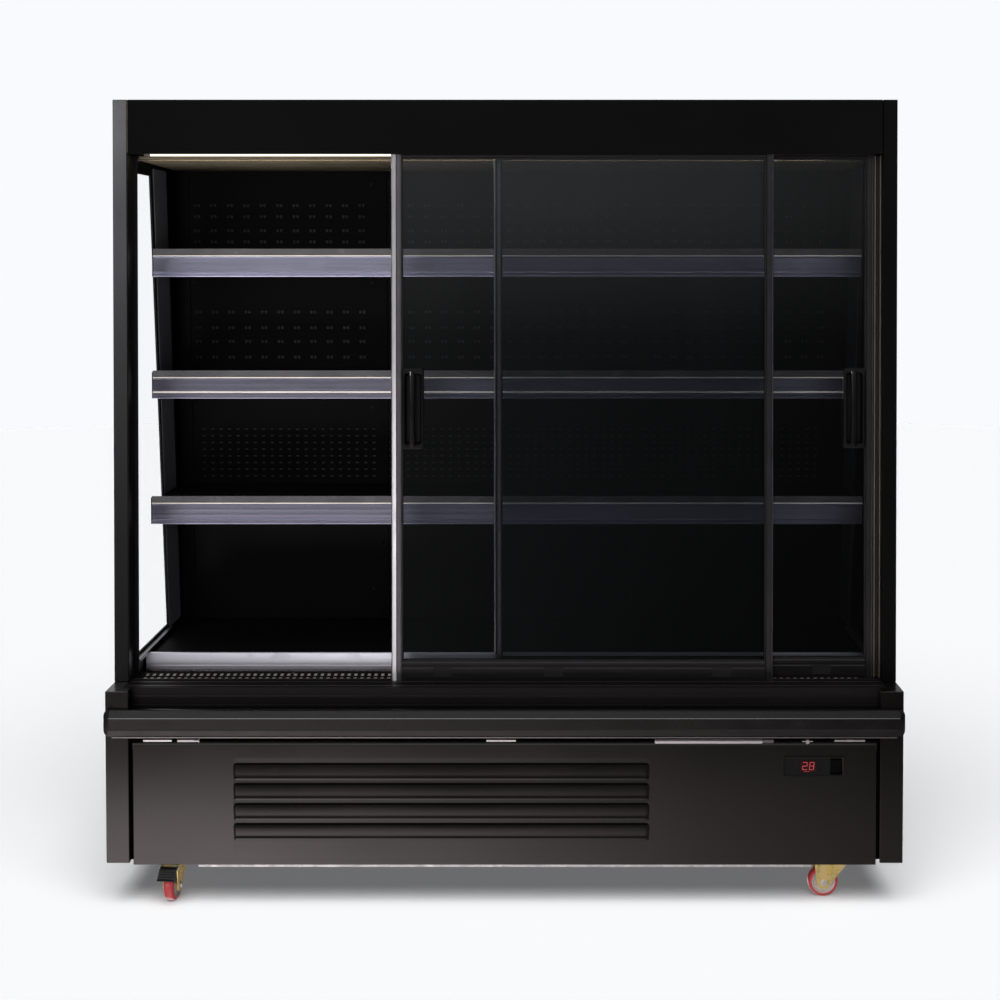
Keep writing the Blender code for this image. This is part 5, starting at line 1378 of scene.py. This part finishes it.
def back_and_roof():
    """Seams, screws and folds of the back and roof, all guessed from such cases."""
    y, top = high("back_panel").y, high("canopy").z
    rods("back_screws", [((x, y - 0.0006, z), (x, y + 0.0016, z)) for x in (-0.900, -0.450, 0.0, 0.450, 0.900)
                         for z in (0.370, 0.505, 0.570, 0.900, 1.220, 1.540, 1.830, 1.880, 1.985)],
         0.0058, "bright", CASE, 16, 0.0044)
    boxes("back_seam_strips", [((x - 0.012, y - 0.0004, 0.545), (x + 0.012, y + 0.0012, 1.850))
                               for x in (-0.318, 0.318)]
          + [((-0.952, y - 0.0004, z - 0.010), (0.952, y + 0.0010, z + 0.010)) for z in (0.5360, 1.8568)],
          "back", CASE, 0.0005)
    boxes("roof_seam_strips", [((x - 0.010, -0.240, top - 0.0004), (x + 0.010, 0.415, top + 0.0010))
                               for x in (-0.318, 0.318)], "back", CASE, 0.0005)
    rods("roof_screws", [((x, v, top - 0.0006), (x, v, top + 0.0014))
                         for x in (-0.94, -0.62, -0.34, -0.29, 0.29, 0.34, 0.62, 0.94)
                         for v in (-0.225, 0.0, 0.2, 0.400)], 0.0052, "bright", CASE, 16, 0.0042)
    a, b = low("rear_grille"), high("rear_grille")
    rods("rear_grille_screws", [((x, b.y - 0.0002, z), (x, b.y + 0.0022, z))
                                for x in (-0.93, -0.235, 0.0, 0.235, 0.93)
                                for z in (a.z + 0.012, b.z - 0.012)], 0.0055, "bright", CASE, 16, 0.0042)
    boxes("rear_grille_fold", [((-0.60, b.y - 0.0002, a.z + 0.004), (0.60, b.y + 0.0006, a.z + 0.020))],
          "back", CASE, 0.0003)
    # lock nut of the cable gland
    a, b = low("cable_gland"), high("cable_gland")
    bm = bmesh.new()
    add_turned(bm, [(0.0112, 0.0), (0.0136, 0.0004), (0.0136, 0.0040), (0.0112, 0.0052)], 6,
               Matrix.Translation(((a.x + b.x) / 2, b.y - 0.0080, (a.z + b.z) / 2))
               @ Matrix.Rotation(math.radians(-90), 4, "X"))
    piece = settle("cable_gland_nut", bm, "plastic_matt", CASE, 0.0004, 1)
    piece.modifiers.new("wall", "SOLIDIFY").thickness = 0.001


back_and_roof()

# ---------------------------------------------------------------- stage, light and camera


def stage_piece(name, build, glow, strength, base, rough):
    """A floor or backdrop that glossy rays pass by."""
    mesh = bpy.data.meshes.new(name)
    bm = bmesh.new()
    build(bm)
    bm.to_mesh(mesh)
    bm.free()
    made, _, shader = tree_of("pale_" + name)
    for socket, value in (("Base Color", (base, base, base, 1)), ("Roughness", rough),
                          ("Specular IOR Level", 0.0), ("Emission Color", (*glow, 1)),
                          ("Emission Strength", strength)):
        shader.inputs[socket].default_value = value
    mesh.materials.append(made)
    obj = bpy.data.objects.new(name, mesh)
    bpy.context.scene.collection.objects.link(obj)
    obj.visible_glossy = False
    return obj


def vector_math(tree, operation, a, b):
    made = tree.nodes.new("ShaderNodeVectorMath")
    made.operation = operation
    tree.links.new(a, made.inputs[0])
    tree.links.new(b, made.inputs[1])
    return made.outputs[0]


def stage_and_light():
    """Floor and glowing backdrop, a world that only reflections see, and lamps on chosen pieces."""
    def disc(bm):
        bmesh.ops.create_circle(bm, cap_ends=True, segments=96, radius=12.0)

    def ball(bm):
        bmesh.ops.create_icosphere(bm, subdivisions=4, radius=14.0)

    floor = stage_piece("floor", disc, (0.94, 0.955, 1.0), 0.148, 0.45, 0.9)
    dome = stage_piece("backdrop", ball, (0.947, 0.956, 0.99), 1.0, 0.0, 0.5)
    dome.visible_diffuse = False
    dome.visible_shadow = False
    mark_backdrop(floor, dome)

    world = bpy.data.worlds.new("studio")
    bpy.context.scene.world = world
    world.use_nodes = True
    tree = world.node_tree
    back = tree.nodes["Background"]
    split = node(tree, "ShaderNodeSeparateXYZ")
    tree.links.new(tree.nodes.new("ShaderNodeTexCoord").outputs["Generated"], split.inputs[0])

    def ramp(value, low_in, high_in, stops):
        placed = tree.nodes.new("ShaderNodeMapRange")
        tree.links.new(value, placed.inputs["Value"])
        placed.inputs["From Min"].default_value = low_in
        placed.inputs["From Max"].default_value = high_in
        made = tree.nodes.new("ShaderNodeValToRGB")
        tree.links.new(placed.outputs[0], made.inputs[0])
        line = made.color_ramp
        line.elements.remove(line.elements[0])
        for index, (where, level) in enumerate(stops):
            share = (where - low_in) / (high_in - low_in)
            stop = line.elements.new(share) if index else line.elements[0]
            stop.position = share
            colour = level if isinstance(level, tuple) else (level, level, level)
            stop.color = (*colour, 1)
        return made.outputs[0]

    lower = ramp(split.outputs["Z"], -1, 1, [
        (-1.0, 1.0), (-0.50, (2.0, 1.76, 1.76)), (-0.36, (2.15, 1.88, 1.88)), (-0.325, (2.35, 2.04, 2.04)),
        (-0.306, (1.65, 1.43, 1.43)), (-0.294, (0.46, 0.40, 0.40)), (-0.283, (0.13, 0.115, 0.115)),
        (-0.27, (0.07, 0.063, 0.063)), (-0.24, 0.05), (-0.12, 0.04), (0.0, 0.02), (0.10, 0.0)])
    upper = ramp(split.outputs["Z"], -1, 1, [
        (-0.20, 0.03), (-0.05, 0.05), (-0.011, 0.07), (0.03, 0.17), (0.07, 0.30), (0.12, 0.34), (0.20, 0.38),
        (0.30, 0.80), (0.55, 1.0), (1.0, 1.0)])
    across = ramp(split.outputs["X"], -1, 1, [
        (-1.0, 0.22), (-0.46, 0.30), (-0.34, 1.2), (-0.20, 1.25), (-0.10, 0.90), (0.0, 0.54), (0.09, 0.25),
        (0.20, 0.12), (0.5, 0.10), (1.0, 0.22)])
    above = ramp(split.outputs["X"], -1, 1, [
        (-1.0, 0.22), (-0.46, 0.36), (-0.32, 1.1), (-0.10, 1.05), (0.0, 0.92), (0.12, 0.72), (0.22, 0.45),
        (0.5, 0.3), (1.0, 0.25)])
    total = vector_math(tree, "ADD", vector_math(tree, "MULTIPLY", lower, across),
                        vector_math(tree, "MULTIPLY", upper, above))
    tree.links.new(total, back.inputs["Color"])
    back.inputs["Strength"].default_value = 1.0
    world.cycles_visibility.diffuse = False
    world.cycles_visibility.transmission = False

    def lamp(name, kind, aim, power, colour):
        data = bpy.data.lights.new(name, kind)
        data.energy = power
        data.color = colour
        made = bpy.data.objects.new(name, data)
        bpy.context.scene.collection.objects.link(made)
        made.rotation_mode = "QUATERNION"
        made.rotation_quaternion = Vector(aim).to_track_quat("-Z", "Y")
        return made

    def area(name, where, target, size, power, colour):
        made = lamp(name, "AREA", Vector(target) - Vector(where), power, colour)
        made.data.shape = "RECTANGLE"
        made.data.size, made.data.size_y = size
        made.location = where
        return made

    def sun(name, towards, strength, spread_deg, colour):
        made = lamp(name, "SUN", towards, strength, colour)
        made.data.angle = math.radians(spread_deg)
        return made

    def only(name, objects, *sources):
        """Lets the lamps light these objects and nothing else."""
        group = bpy.data.collections.new(name)
        for obj in objects:
            group.objects.link(obj)
        for source in sources:
            source.light_linking.receiver_collection = group

    shown = list(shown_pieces())

    def called(*starts):
        return [obj for obj in shown if obj.name.startswith(starts)]

    only("floor_receivers", [floor], sun("floor_sky", (0.0, 0.42, -0.90), 6.3, 56, (0.985, 0.99, 1.0)))
    fill = sun("fill", (0.35, 0.85, -0.40), 1.0, 60, (1.0, 1.0, 1.0))
    fill.visible_glossy = False
    strip = area("strip_lamp", (-0.05, -0.196, 1.8640), (-0.05, -0.150, 1.0), (1.74, 0.012), 0.95,
                 (1.0, 0.88, 0.70))
    only("case_receivers", shown, fill, strip)
    post = area("post_light", (-1.95, -3.55, 2.25), (-0.97, -0.28, 1.65), (0.9, 0.9), 175, (0.95, 0.95, 1.0))
    only("post_receivers", called("end_frame_left"), post)
    trim = area("trim_light", (-0.5, -3.5, 0.62), (-0.5, -0.13, 0.56), (1.6, 0.5), 9, (1.0, 1.0, 1.0))
    trim_and_stile = ("deck_trim_extrusion", "door_front_stile_left")
    only("trim_receivers", [obj for obj in shown if obj.name in trim_and_stile], trim)
    edges = sun("edge_fill", (0.1, 0.95, -0.25), 1.3, 40, (1.0, 0.98, 0.95))
    only("edge_receivers", [obj for obj in shown if obj.name.endswith("_line")], edges)
    liner = area("liner_light", (0.6, -3.2, 1.3), (-0.95, 0.1, 1.2), (0.8, 1.4), 34, (0.97, 0.97, 1.0))
    only("liner_receivers", called("end_liner_strip_left"), liner)
    pull = area("pull_light", (-2.2, -3.2, 2.3), (0.3, -0.3, 1.2), (0.5, 1.3), 90, (1.0, 0.96, 0.97))
    only("pull_receivers", [obj for obj in shown if "_pull_grip" in obj.name], pull)
    low_left = area("low_left_light", (-2.6, -3.2, 0.5), (-0.6, -0.35, 0.2), (0.8, 0.8), 19,
                    (1.0, 0.98, 0.97))
    low_right = area("low_right_light", (1.6, -3.2, 0.5), (0.83, -0.35, 0.06), (0.6, 0.6), 8,
                     (1.0, 0.96, 0.90))
    only("wheel_receivers", called("wheel_", "caster_", "pedal", "brake"), low_left, low_right)


stage_and_light()


def camera():
    data = bpy.data.cameras.new("camera")
    data.lens = 60.58
    data.sensor_width = 36
    data.shift_x = -0.0434
    data.shift_y = -0.1881
    data.clip_end = 60
    eye = bpy.data.objects.new("camera", data)
    bpy.context.scene.collection.objects.link(eye)
    eye.location = (0.0966, -4.5298, 1.6212)
    eye.rotation_euler = (math.radians(90 - 2), 0, 0)
    bpy.context.scene.camera = eye
    bpy.context.scene.view_settings.view_transform = "Standard"


camera()
